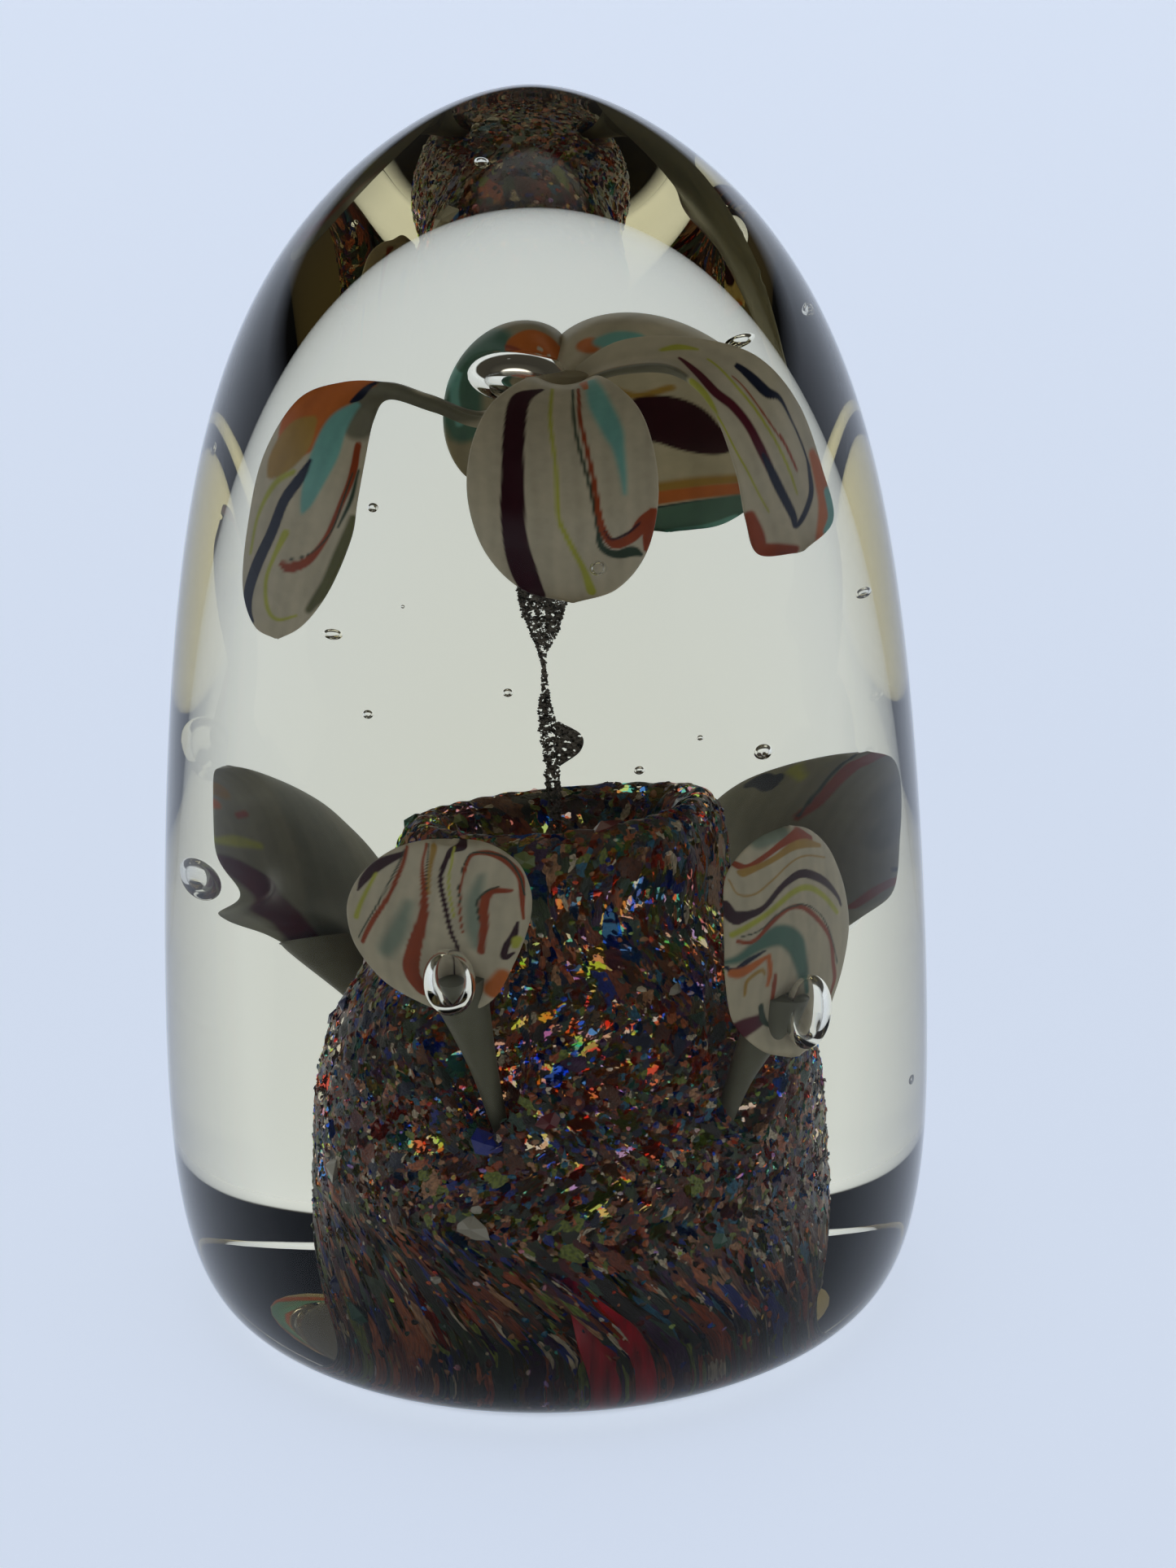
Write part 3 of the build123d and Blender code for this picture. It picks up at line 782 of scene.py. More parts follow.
def red_glass_material():
    """Deep ruby glass drawn out thin: dark where thick, with brighter streaks along its length."""
    material, tree, output = new_material("drawn_ruby_glass")
    place = add_node(tree, "ShaderNodeTexCoord")
    spread = add_node(tree, "ShaderNodeMapping", {"Vector": place.outputs["Object"], "Scale": (900.0, 900.0, 120.0),
                                                  "Rotation": (0.0, 0.5, 0.0)})
    streak = add_node(tree, "ShaderNodeTexNoise", {"Vector": spread.outputs["Vector"], "Scale": 1.0, "Detail": 3.0})
    tone = add_node(tree, "ShaderNodeValToRGB", {"Fac": streak.outputs["Fac"]})
    set_ramp(tone, [(0.3, rgba("#4a0810")), (0.7, rgba("#c41c2c"))])
    solid = add_node(tree, "ShaderNodeBsdfPrincipled", {"Base Color": tone.outputs["Color"], "Roughness": 0.3,
                                                        "Specular IOR Level": 0.3})
    tree.links.new(solid.outputs["BSDF"], output.inputs["Surface"])
    return material


# ---------------------------------------------------------------- petals


def leaf(left, right, thickness, bulge, rows, columns):
    """A closed sheet between two edges: returns its points and faces, and each point's place on it."""
    a, b = spline(left, rows), spline(right, rows)
    middle, half = (a + b) / 2, (b - a) / 2
    along = unit(np.gradient(middle, axis=0))
    width = np.linalg.norm(half, axis=1)
    widest = width.max()
    steady = half.copy()
    last = int(rows * 0.93)
    steady[last:] = half[last]
    normal = unit(np.cross(steady, along))
    angle = np.arange(columns) * 2 * math.pi / columns
    u = np.cos(angle)
    rise = np.sin(angle)
    swell = np.sqrt(np.clip(width / widest, 0, 1))
    body = 0.5 * thickness * np.sign(rise) * np.abs(rise) ** 0.75
    lift = bulge * (1 - u**2)
    offset = swell[:, None] * (body + lift)
    points = middle[:, None] + half[:, None] * u[None, :, None] + normal[:, None] * offset[..., None]
    length = np.concatenate([[0], np.cumsum(np.linalg.norm(np.diff(middle, axis=0), axis=1))])
    x = u[None, :] * width[:, None]
    y = np.repeat(length[:, None], columns, 1)
    flat = points.reshape(-1, 3)
    faces = grid_faces(rows, columns)
    faces.append(list(range(columns))[::-1])
    faces.append([(rows - 1) * columns + j for j in range(columns)])
    if signed_volume(flat, faces) < 0:
        faces = [f[::-1] for f in faces]
    return (flat, faces), x.ravel(), y.ravel()


def signed_volume(points, faces):
    """Positive when the faces of a closed mesh look outwards."""
    quads = np.array([f for f in faces if len(f) == 4])
    p = points[quads]
    return float(np.einsum("ij,ij->i", p[:, 0], np.cross(p[:, 1], p[:, 2]) + np.cross(p[:, 2], p[:, 3])).sum())


# Each petal: its left and right edges from the root to the tip, thickness, bulge, base tone and strokes.
# An edge's points are x, y, z in millimetres. A stroke's are across and along the petal, from its root.
PETALS = {
    "petal_front": dict(
        left=[(0.9, -0.5, 95.2), (-0.6, -5.5, 97.1), (-3.6, -11.5, 96.4), (-5.3, -16.5, 93.8),
              (-5.6, -19.6, 90.2),
              (-4.3, -20.6, 85.9), (-1.4, -21.2, 82.6), (2.7, -21.6, 81.3)],
        right=[(3.2, -0.5, 95.2), (5.0, -5.5, 97.1), (8.0, -11.5, 96.2), (9.6, -16.5, 93.6),
               (10.0, -19.6, 89.8),
               (8.9, -20.8, 85.4), (6.4, -21.4, 82.4), (2.9, -21.6, 81.3)],
        thickness=2.4, bulge=2.2, base="opal", strokes=[
            ("turquoise", 0.6, [(1.7, 5.7, 0.4), (2.7, 10, 0.8), (4, 14.2, 0.8), (4.5, 16.4, 0.5),
                    (4.8, 19.1, 0.3), (4.9, 21, 0.15)]),
            ("aubergine", 0.15, [(-1.7, 7, 0.15), (-3.2, 9.5, 0.7), (-3.7, 14.2, 0.85), (-4.1, 19.1, 0.9),
                    (-4.3, 22.2, 1), (-4.1, 25.5, 1), (-3.5, 28, 1.05), (-2.7, 30.2, 0.8)]),
            ("lime", 0.2, [(-1, 6.5, 0.12), (-0.9, 12.1, 0.15), (-0.6, 17.5, 0.15), (-0.6, 23, 0.17),
                    (-0, 25.1, 0.2), (1.3, 27.9, 0.25), (1.9, 30, 0.4)]),
            ("bottle", 0.15, [(0.5, 6.7, 0.1), (0.9, 12.1, 0.12), (1.4, 16.2, 0.14), (2.1, 20.6, 0.15),
                    (2.6, 24.3, 0.2), (2.9, 26, 0.3), (4.1, 26.6, 0.35), (5.5, 26.2, 0.45),
                    (6.2, 26.4, 0.2)]),
            ("rust", 0.12, [(0.9, 6.7, 0.12), (1.4, 12.1, 0.16), (1.9, 15.7, 0.18), (2.4, 19.7, 0.2),
                    (2.7, 23, 0.25), (3.1, 24.7, 0.32), (3.9, 25.7, 0.4), (5.3, 25.1, 0.42),
                    (6.4, 23.7, 0.6), (7.3, 22.8, 0.5)]),
            ("rust", 0.12, [(7, 23.5, 0.5), (6.8, 24.7, 0.45), (6.6, 26, 0.15)]),
            ("aubergine", 0.12, [(3.1, 24.5, 0.06), (3.7, 25.3, 0.1), (5, 24.7, 0.12), (6.1, 23.7, 0.1)]),
            ("orange", 0.2, [(1.2, 5.4, 0.3), (1.5, 7, 0.2)]),
        ]),
    "petal_left": dict(
        left=[(1.0, -1.6, 95.6), (-3.4, -2.6, 93.4), (-7.4, -4.6, 95.6), (-10.8, -6.4, 97.4),
              (-14.6, -6.6, 97.6),
              (-18.6, -7.2, 96.4), (-21.8, -7.6, 91.5), (-23.2, -8.0, 85.4), (-23.7, -8.4, 79.6),
              (-22.6, -8.8, 76.0),
              (-20.6, -9.2, 74.8)],
        right=[(1.4, -0.6, 94.4), (-3.2, -1.6, 92.0), (-7.2, -3.8, 94.0), (-10.7, -6.0, 95.8),
               (-12.2, -8.6, 94.8),
               (-13.2, -10.6, 91.6), (-14.0, -12.0, 88.4), (-14.6, -12.6, 85.2), (-16.4, -12.4, 80.4),
               (-18.4, -11.2, 76.8), (-20.4, -9.4, 74.8)],
        thickness=1.9, bulge=1.3, base="opal", strokes=[
            ("olive_grey", 0.8, [(-0.9, 6.4, 1.2), (0.6, 10.9, 1.4), (0.7, 14, 2), (1.3, 16.6, 2.4),
                    (1.5, 18.9, 1.6)]),
            ("olive", 0.5, [(4.7, 28.2, 0.4), (4.6, 32.3, 0.8), (4.2, 35.5, 0.8), (2.8, 38.2, 0.4)]),
            ("orange", 0.25, [(-0.7, 15.7, 0.3), (-1.2, 18, 1.2), (-1.7, 20.5, 1.9), (-2.4, 22.5, 2),
                    (-2.9, 24, 1.1)]),
            ("mustard", 0.3, [(-1.7, 21.5, 0.4), (-2.3, 23.4, 1.3), (-3.1, 25.5, 1.1), (-3.6, 26.7, 0.4)]),
            ("turquoise", 0.4, [(0.3, 17.8, 0.3), (0.3, 20.2, 0.9), (0.5, 22.5, 1.2), (0.4, 25.2, 1),
                    (0.2, 27.6, 0.6), (-0, 28.8, 0.2)]),
            ("navy", 0.12, [(-0.7, 15.5, 0.15), (-0.2, 17, 0.32), (-0.2, 18, 0.12)]),
            ("lime", 0.25, [(-1.6, 25.8, 0.2), (-3, 27.3, 0.22), (-4, 30, 0.15), (-3.9, 33.1, 0.12)]),
            ("navy", 0.12, [(-0.5, 24.3, 0.15), (-0.9, 26.1, 0.42), (-1.9, 28.5, 0.45), (-2.4, 31.3, 0.5),
                    (-3, 34.1, 0.55), (-3.3, 36.7, 0.5), (-3.1, 38.4, 0.4), (-2.5, 39.4, 0.15)]),
            ("rust", 0.2, [(2.8, 20.5, 0.3), (3.4, 22.5, 0.36), (3.5, 25.2, 0.3), (3, 29.1, 0.26),
                    (2.5, 31.6, 0.3), (1.6, 33.4, 0.45), (0.2, 34.1, 0.5), (-0.7, 33.8, 0.25)]),
            ("bottle", 0.1, [(3.5, 23.1, 0.06), (3.4, 26.7, 0.08), (2.9, 30.6, 0.08), (1.6, 32.7, 0.08),
                    (-0.2, 33.4, 0.05)]),
            ("bottle", 0.25, [(3.9, 22.5, 0.1), (4.1, 26.1, 0.18), (3.5, 29.7, 0.1)]),
            ("lime", 0.2, [(-1.1, 31, 0.35), (-1.6, 33.4, 0.2), (-1.8, 35.5, 0.18), (-1.2, 38.2, 0.18),
                    (-0.1, 39.3, 0.18), (1.6, 38.9, 0.12)]),
        ]),
    "petal_right": dict(
        left=[(2.2, -0.8, 94.9), (5.8, -3.4, 97.0), (10.2, -6.6, 98.0), (13.6, -9.4, 95.6), (15.6, -11.0, 90.4),
              (16.4, -11.8, 86.0), (17.4, -12.0, 82.8), (20.6, -10.8, 82.4)],
        right=[(2.4, 0.8, 95.8), (6.0, -0.2, 98.6), (11.2, -2.2, 99.4), (17.0, -4.6, 98.6), (21.0, -6.4, 95.0),
               (23.2, -7.6, 89.4), (24.2, -8.4, 84.8), (21.4, -10.4, 82.5)],
        thickness=1.9, bulge=1.3, base="opal", strokes=[
            ("mustard", 0.4, [(-1.2, 1.9, 0.4), (-1.6, 3.7, 0.6), (-1.9, 6.4, 0.6), (-2.2, 9.2, 0.5),
                    (-2.5, 11.4, 0.3)]),
            ("olive_grey", 0.4, [(-1.2, 1.6, 0.3), (-1.7, 4.8, 0.5), (-2, 8, 0.5), (-2.6, 11.9, 0.3)]),
            ("lime", 0.2, [(0.6, 8.2, 0.2), (1, 9.5, 0.3), (1.2, 11.2, 0.1)]),
            ("lime", 0.3, [(-2.7, 12.7, 0.3), (-3, 14.4, 0.4), (-3.3, 16.6, 0.1)]),
            ("orange", 0.4, [(3.7, 25.4, 0.4), (3.8, 27.5, 0.8), (3.6, 29.5, 1), (2.4, 31.7, 0.8)]),
            ("turquoise", 0.3, [(4, 28.7, 0.4), (3.8, 30.6, 0.5), (2.9, 31.5, 0.4)]),
            ("rust", 0.4, [(-4.2, 26.9, 0.8), (-4.2, 28.9, 1.1), (-4, 30.6, 1), (-2.2, 31.4, 0.8),
                    (-0.5, 31.8, 0.4)]),
            ("wine", 0.2, [(-0.2, 10, 0.15), (-1.3, 12.2, 0.4), (-2, 14.9, 0.5), (-1.5, 17, 0.45),
                    (-1.1, 19.3, 0.42), (-1, 21.8, 0.45), (-0.8, 23.7, 0.4)]),
            ("navy", 0.15, [(-1, 22.3, 0.2), (-0.7, 24.4, 0.42), (-0.3, 26.9, 0.42), (-0, 28.9, 0.36),
                    (-0, 29.8, 0.25), (1, 29.3, 0.28), (2.3, 28, 0.28), (2.8, 26.5, 0.2), (3, 25.4, 0.1)]),
            ("navy", 0.12, [(1.4, 14.9, 0.25), (1.6, 16.8, 0.42), (2, 18.5, 0.42), (2.8, 19.8, 0.2),
                    (2.9, 22, 0.1), (3, 24, 0.1), (3, 26.1, 0.1)]),
            ("lime", 0.12, [(0.6, 12.4, 0.1), (-0, 15.8, 0.12), (0.3, 19.1, 0.12), (0.7, 22.5, 0.12),
                    (1, 25.4, 0.12), (1, 27.3, 0.08)]),
            ("rust", 0.12, [(1.3, 22, 0.08), (1.5, 23.7, 0.12), (1.7, 25.6, 0.1)]),
            ("lime", 0.12, [(-3.4, 16.8, 0.08), (-3.4, 20.1, 0.1), (-2.9, 23.5, 0.1), (-2.1, 27.3, 0.08)]),
            ("rust", 0.1, [(0.4, 15.1, 0.06), (0.6, 18.3, 0.08), (1, 21.3, 0.08), (1.5, 23.7, 0.05)]),
        ]),
    "petal_back_right": dict(
        left=[(0.9, 0.4, 95.0), (1.4, 5.0, 96.6), (1.6, 10.0, 95.4), (1.8, 14.0, 91.4), (1.9, 16.0, 86.0),
              (2.6, 16.8, 81.2), (4.6, 17.0, 78.4), (7.2, 16.8, 77.6)],
        right=[(2.7, 0.2, 95.0), (7.0, 3.6, 96.8), (10.4, 7.8, 95.6), (12.4, 12.0, 91.6), (13.2, 14.4, 86.2),
               (12.8, 15.6, 81.4), (10.4, 16.6, 78.2), (7.4, 16.8, 77.6)],
        thickness=1.9, bulge=1.6, base="opal", strokes=[
            ("mustard", 0.3, [(-3.2, 17.3, 0.3), (-1.7, 18.3, 0.3), (0.2, 17.8, 0.3)]),
            ("aubergine", 0.2, [(-2.4, 20.4, 1.2), (-1.1, 20.4, 2), (0.2, 21, 2), (1.3, 22.2, 1.6),
                    (2.4, 23.1, 1), (3.5, 23.3, 0.2)]),
            ("mustard", 0.6, [(-1.2, 26.7, 0.5), (1.2, 26.5, 0.5), (3.9, 26.3, 0.4)]),
            ("orange", 0.25, [(-1.1, 27.6, 0.6), (1.1, 27.4, 0.55), (4.3, 27.1, 0.5)]),
            ("navy", 0.12, [(-1.3, 28.5, 0.12), (1.2, 28.2, 0.12), (4.4, 27.9, 0.12)]),
            ("teal", 0.35, [(-1.4, 29.6, 1), (1.4, 29.2, 1.1), (4.2, 28.3, 0.8)]),
            ("turquoise", 0.2, [(-0.3, 30.6, 0.2), (1.7, 30.3, 0.2), (3.3, 29.5, 0.2)]),
            ("orange", 0.3, [(0.2, 3.1, 0.4), (0.6, 3.1, 0.7), (0.9, 3.3, 0.3)]),
            ("turquoise", 0.4, [(1.1, 3.6, 0.4), (2, 4.4, 0.7), (2.8, 5.5, 0.4)]),
        ]),
    "petal_back_left": dict(
        left=[(1.4, 1.0, 95.0), (-1.6, 3.6, 96.8), (-3.8, 6.4, 95.8), (-5.2, 8.8, 92.4), (-5.4, 10.4, 88.0),
              (-4.4, 11.4, 84.6), (-2.4, 11.8, 82.8)],
        right=[(2.2, 1.4, 95.0), (2.0, 5.2, 96.9), (1.5, 8.8, 96.0), (0.8, 11.2, 92.6), (0.2, 12.0, 88.2),
               (-0.6, 12.2, 84.8), (-2.2, 12.0, 82.8)],
        # This petal's base is the opal darkened as painted shade.
        thickness=1.8, bulge=1.0, base="opal_painted_shade", strokes=[
            ("teal", 0.8, [(-2.3, 5.2, 1), (-2.7, 9.8, 1.6), (-2.4, 13.4, 1.6), (-1.8, 16.3, 1.2)]),
            ("orange", 0.25, [(-1.7, 4.1, 0.5), (-0.9, 3, 1.3), (-0.4, 1.7, 1.4), (0.1, 0.6, 0.6)]),
            ("rust", 0.1, [(-2, 4.5, 0.06), (-1.5, 3.1, 0.08), (-1, 1.9, 0.06)]),
            ("turquoise", 0.3, [(-3.1, 10.6, 0.3), (-2.8, 13.2, 0.3), (-2.2, 15.7, 0.3)]),
            ("opal", 0.08, [(-0.7, 2.7, 0.12), (-0.6, 2.5, 0.1)]),
            ("opal", 0.08, [(-0.4, 1.9, 0.12), (-0.4, 1.7, 0.1)]),
        ]),
}


class PAPERWEIGHT_OT_petals(bpy.types.Operator):
    """Builds the five striped petals of the upper flower"""

    bl_idname = "paperweight.petals"
    bl_label = "Upper petals"

    def execute(self, context):
        sizes = context.scene.paperweight_sizes
        scale = sizes.petal_thickness / 2.0
        material = opal_material(context)
        for seed, (name, petal) in enumerate(PETALS.items()):
            sheet, x, y = leaf(petal["left"], petal["right"], petal["thickness"] * scale, petal["bulge"], 200, 220)
            obj = make_object("striped_" + name, *sheet, material)
            store_colours(obj, "Glaze", paint(x, y, petal["base"], petal["strokes"], seed + 1))
            finish_piece(obj, "petal_glass", name)
        return {"FINISHED"}


def opal_material(context):
    """One drawn opal glass serves the petals, the lilies and the stem."""
    return bpy.data.materials.get("drawn_opal_glass") or opal_glass_material()


# ---------------------------------------------------------------- lilies

LILY_STROKES = {
    "lily_front_left": [
        ("teal_pale", 1.2, [(-2.4, 11.9, 0.5), (-2.9, 8.6, 0.9), (-3.9, 6.4, 0.8)]),
        ("teal_pale", 1.0, [(3, 16.1, 0.3), (3.1, 13.5, 0.7), (3.6, 10.7, 0.8), (4, 8.1, 0.5)]),
        ("aubergine", 0.2, [(-4, 17.4, 0.2), (-5.7, 15.6, 0.5), (-6.8, 13.6, 0.4), (-7.2, 12.2, 0.1)]),
        ("lime", 0.25, [(-5.9, 14.4, 0.15), (-6.6, 11.3, 0.2), (-6.9, 9.1, 0.25)]),
        ("rust", 0.12, [(-3.9, 18, 0.15), (-3.9, 15.4, 0.2), (-4.3, 12.4, 0.22), (-5.3, 9.1, 0.25),
                (-6.2, 6.7, 0.2)]),
        ("bottle", 0.08, [(-4.1, 17.7, 0.06), (-4.3, 15.4, 0.08), (-4.8, 12.5, 0.08), (-5.7, 9.2, 0.08),
                (-6.6, 7, 0.06)]),
        ("mustard", 0.2, [(-1.5, 18.9, 0.3), (-1.5, 16.9, 0.2), (-0.9, 13.6, 0.15)]),
        ("rust", 0.12, [(-2.2, 18.9, 0.12), (-2.2, 16.8, 0.14), (-1.2, 13.3, 0.3), (-0.9, 10.2, 0.5),
                (-1.4, 7, 0.65), (-1.9, 4.6, 0.7), (-1.5, 2.4, 0.5)]),
        ("bottle", 0.06, [(-2, 19, 0.06), (-1.8, 16.8, 0.06), (-1.1, 13.8, 0.05)]),
        ("aubergine", 0.1, [(1, 19.3, 0.35), (-0.1, 18.6, 0.26), (-0.3, 15.8, 0.2), (0.9, 12.1, 0.2),
                (1.8, 9.2, 0.18), (2.3, 7.5, 0.14), (1.8, 4.1, 0.14), (0.8, 1.2, 0.3)]),
        ("lime", 0.15, [(0.3, 19.2, 0.1), (0.2, 18.1, 0.1), (0.5, 15.3, 0.1), (1.8, 11.1, 0.1)]),
        ("rust", 0.1, [(2.7, 9.5, 0.08), (2.1, 12.2, 0.1), (1.6, 15.3, 0.12), (1.6, 18.2, 0.16),
                (2.8, 18.6, 0.2), (4.5, 17.7, 0.22), (6.1, 15.8, 0.24), (6.8, 13.6, 0.22),
                (7.4, 10.8, 0.1)]),
        ("bottle", 0.06, [(2.1, 12.5, 0.05), (1.3, 15.6, 0.06), (1.5, 18.4, 0.06), (2.8, 18.6, 0.07),
                (4.6, 17.8, 0.07), (6.1, 15.8, 0.07), (7, 13.6, 0.07)]),
        ("rust", 0.15, [(5.8, 14.3, 0.2), (4.2, 14.3, 0.42), (4, 12.7, 0.42), (4.4, 10.2, 0.36),
                (4.3, 7.3, 0.3)]),
        ("bottle", 0.08, [(4.7, 14.9, 0.1), (3.9, 14.4, 0.12), (3.4, 13.2, 0.1), (3.9, 10.8, 0.06)]),
        ("aubergine", 0.12, [(7, 10.5, 0.12), (6.8, 9.1, 0.32), (6.3, 8, 0.28), (6.2, 6.7, 0.3),
                (6.9, 7.2, 0.12)]),
        ("lime", 0.3, [(7.1, 8.7, 0.4), (7, 8, 0.3)]),
        ("orange", 0.6, [(5.8, 4.8, 0.6), (4.6, 3.1, 0.9)]),
    ],
    "lily_front_right": [
        ("teal_pale", 0.8, [(-3.7, 24.6, 0.6), (-2.3, 25.3, 0.9), (-0.6, 25.5, 0.6)]),
        ("teal", 0.7, [(-8.8, 11.1, 0.3), (-7.5, 11.5, 0.5), (-5.4, 12.8, 0.8), (-2.8, 13.5, 1.2),
                (-0.7, 12.4, 1.3), (0.7, 10, 0.9), (2.4, 7.5, 0.5)]),
        ("rust", 0.15, [(-6.4, 22, 0.5), (-5.3, 21.9, 0.35), (-3, 23.3, 0.3), (-1, 24.5, 0.4), (1, 25, 0.6),
                (3.1, 24.3, 0.3)]),
        ("mustard", 0.2, [(-6.3, 21, 0.5), (-4.2, 21.9, 0.35), (-2, 22.9, 0.35), (0, 23.9, 0.5),
                (2, 24, 0.5), (4.5, 23.3, 0.2)]),
        ("mustard", 0.15, [(-7.9, 20, 0.08), (-7.4, 18.4, 0.1), (-5.5, 18.4, 0.1), (-3, 20, 0.1),
                (-0.3, 22, 0.1), (1.9, 22.6, 0.1), (5.1, 22, 0.08)]),
        ("aubergine", 0.12, [(-8.7, 17.2, 0.3), (-8.3, 15.8, 0.75), (-6.8, 16, 0.5), (-4.6, 16.8, 0.32),
                (-1.9, 19.1, 0.36), (0.6, 20.5, 0.5), (2.4, 20.4, 0.55), (4.8, 19.3, 0.5), (6.6, 17.4, 0.3),
                (7.2, 16.2, 0.2)]),
        ("lime", 0.3, [(-8.6, 13.9, 0.3), (-6.4, 15, 0.3), (-3.7, 16.4, 0.3), (-0.3, 18.4, 0.35),
                (2, 18.8, 0.4), (4.2, 17.6, 0.35), (6.4, 15.4, 0.3)]),
        ("rust", 0.15, [(-8, 13.2, 0.2), (-6.2, 13.2, 0.22), (-3.8, 15, 0.24), (-1.4, 16.4, 0.26),
                (0.7, 16.4, 0.3), (2.8, 15, 0.34), (5.1, 12.4, 0.3), (6.1, 9.7, 0.34), (6.6, 8, 0.36),
                (6.1, 6.4, 0.2)]),
        ("bottle", 0.08, [(-7.6, 13.7, 0.06), (-5.4, 14.3, 0.08), (-3.1, 15.8, 0.08), (-1, 16.6, 0.1),
                (1.4, 16.6, 0.1), (3.8, 15, 0.1), (5.6, 12, 0.1), (6.9, 9.7, 0.1)]),
        ("navy", 0.12, [(-8.7, 10.6, 0.12), (-7.8, 10.2, 0.3), (-6.6, 11.1, 0.3), (-4.7, 12, 0.12)]),
        ("orange", 0.25, [(-8, 10, 0.4), (-7, 10, 0.5), (-5.2, 10.9, 0.35), (-4.4, 11.3, 0.2)]),
        ("orange", 0.2, [(-4.1, 11.3, 0.3), (-3.6, 9.7, 0.3), (-3.7, 8.4, 0.2)]),
        ("mustard", 0.2, [(-6.2, 7.8, 0.15), (-6.2, 9.1, 0.2), (-4.8, 10, 0.2), (-4.2, 9.5, 0.1)]),
        ("wine", 0.3, [(-4.2, 5, 0.7), (-5.9, 4.5, 1), (-6, 4.1, 0.8)]),
        ("rust", 0.15, [(-2.9, 9.3, 0.2), (-2.7, 7.3, 0.36), (-2.2, 4.7, 0.3)]),
        ("bottle", 0.15, [(-4.1, 6.4, 0.3), (-3.6, 5, 0.4), (-2.7, 4.1, 0.2)]),
        ("lime", 0.4, [(0.8, 5.4, 0.3), (-0.2, 3.1, 0.4)]),
    ],
    "lily_right": [
        # The wide grey-green stroke is the plain back of the sheet: partly its own colour, partly painted shade.
        ("grey_green", 1.5, [(6.4, 21.5, 1.4), (8.2, 19.5, 1.6), (7.8, 17.9, 1.6)]),
        ("lime", 0.7, [(-4, 22.2, 0.5), (-2.4, 21.8, 0.4)]),
        ("navy", 0.15, [(-6.8, 19.8, 0.3), (-6, 20.5, 0.7), (-4.8, 20.5, 0.8), (-4.5, 21, 0.6)]),
        ("rust", 0.25, [(1.6, 24, 0.6), (1.1, 23.6, 0.7), (0.9, 22, 0.6), (0.6, 20.1, 0.55),
                (-0.3, 18.5, 0.4)]),
        ("bottle", 0.12, [(-0, 24.2, 0.15), (0, 22.9, 0.2), (0, 20.9, 0.2), (-0.3, 18.5, 0.15)]),
        ("rust", 0.3, [(5, 9.1, 0.4), (7, 11.2, 0.5), (8.7, 12.3, 0.5)]),
        ("navy", 0.3, [(9.1, 14.1, 0.2), (9.2, 13.9, 0.3)]),
    ],
    "lily_left": [
        # The wide grey-green stroke is the plain back of the sheet: partly its own colour, partly painted shade.
        ("grey_green", 2.0, [(2.4, 22.5, 3), (2.5, 16.9, 3), (0.8, 10.3, 2.5)]),
        ("mustard", 0.5, [(-6.1, 24.5, 0.5), (-6.1, 24.3, 0.8)]),
        ("orange", 0.4, [(-7.5, 23.1, 0.5), (-7.6, 22.9, 0.3)]),
        ("lime", 0.5, [(-8.7, 19.8, 0.3), (-6.9, 19.8, 0.5), (-4.6, 19.4, 0.3)]),
        ("wine", 0.6, [(-9, 18.3, 0.4), (-8, 17.1, 1.2), (-6.4, 15, 1.6), (-2.8, 11.5, 1.4),
                (-1.9, 5.7, 1.1), (-0.7, 1.5, 0.6)]),
        ("rust", 0.3, [(-5.8, 22.1, 0.3), (-4.9, 22.3, 0.3)]),
    ],
}


class PAPERWEIGHT_OT_lilies(bpy.types.Operator):
    """Builds the four lilies that stand round the pot"""

    bl_idname = "paperweight.lilies"
    bl_label = "Lilies"

    def execute(self, context):
        sizes = context.scene.paperweight_sizes
        material = opal_material(context)
        for seed, (name, lily) in enumerate(LILIES.items()):
            (points, faces), x, y = leaf(lily["left"], lily["right"], sizes.lily_wall, 1.2, 180, 220)
            points = dimple(points, lily)
            # The left and right lilies show the backs of their sheets in a greyer, darker opal: partly plain colour,
            # partly painted shade.
            base = "opal_grey" if name in ("lily_right", "lily_left") else "opal"
            colours = paint(x, y, base, LILY_STROKES[name], 20 + seed)
            foot, throat = np.array(lily["foot"]), np.array(lily["throat"])
            bend = (foot + throat) / 2 + outward(math.degrees(math.atan2(foot[0], -foot[1])), -0.6)
            rise = throat - foot
            stem, stem_faces = tube([foot - 0.05 * rise, foot, bend, throat, throat + 0.12 * rise],
                                    [0.3, 0.55, 1.15, 2.3, 2.6], 48, 0.0, 1)
            # The stems are pulled from the same glass: the grey opal times 0.55, as painted shade, darker down among
            # the chips.
            shade = 0.55 * paint(stem[:, 0], stem[:, 2], "opal_grey", [], 60 + seed)
            start = len(points)
            obj = make_object("striped_" + name, np.vstack([points, stem]),
                              faces + [[i + start for i in f] for f in stem_faces], material)
            store_colours(obj, "Glaze", np.vstack([colours, shade]))
            finish_piece(obj, "lily_glass", name)
        return {"FINISHED"}


def dimple(points, lily):
    """Presses the sheet in behind the bubble in its throat."""
    *centre, _, length = lily["bubble"]
    d = points - np.array(centre)
    outwards = unit(np.array([centre[0], centre[1], 0.0]))
    reach = np.sqrt(np.maximum((d**2).sum(1) - (d @ outwards) ** 2, 0))
    return points - outwards * (2.0 * np.exp(-((reach / 2.6) ** 2)))[:, None]


# ---------------------------------------------------------------- stem and thread


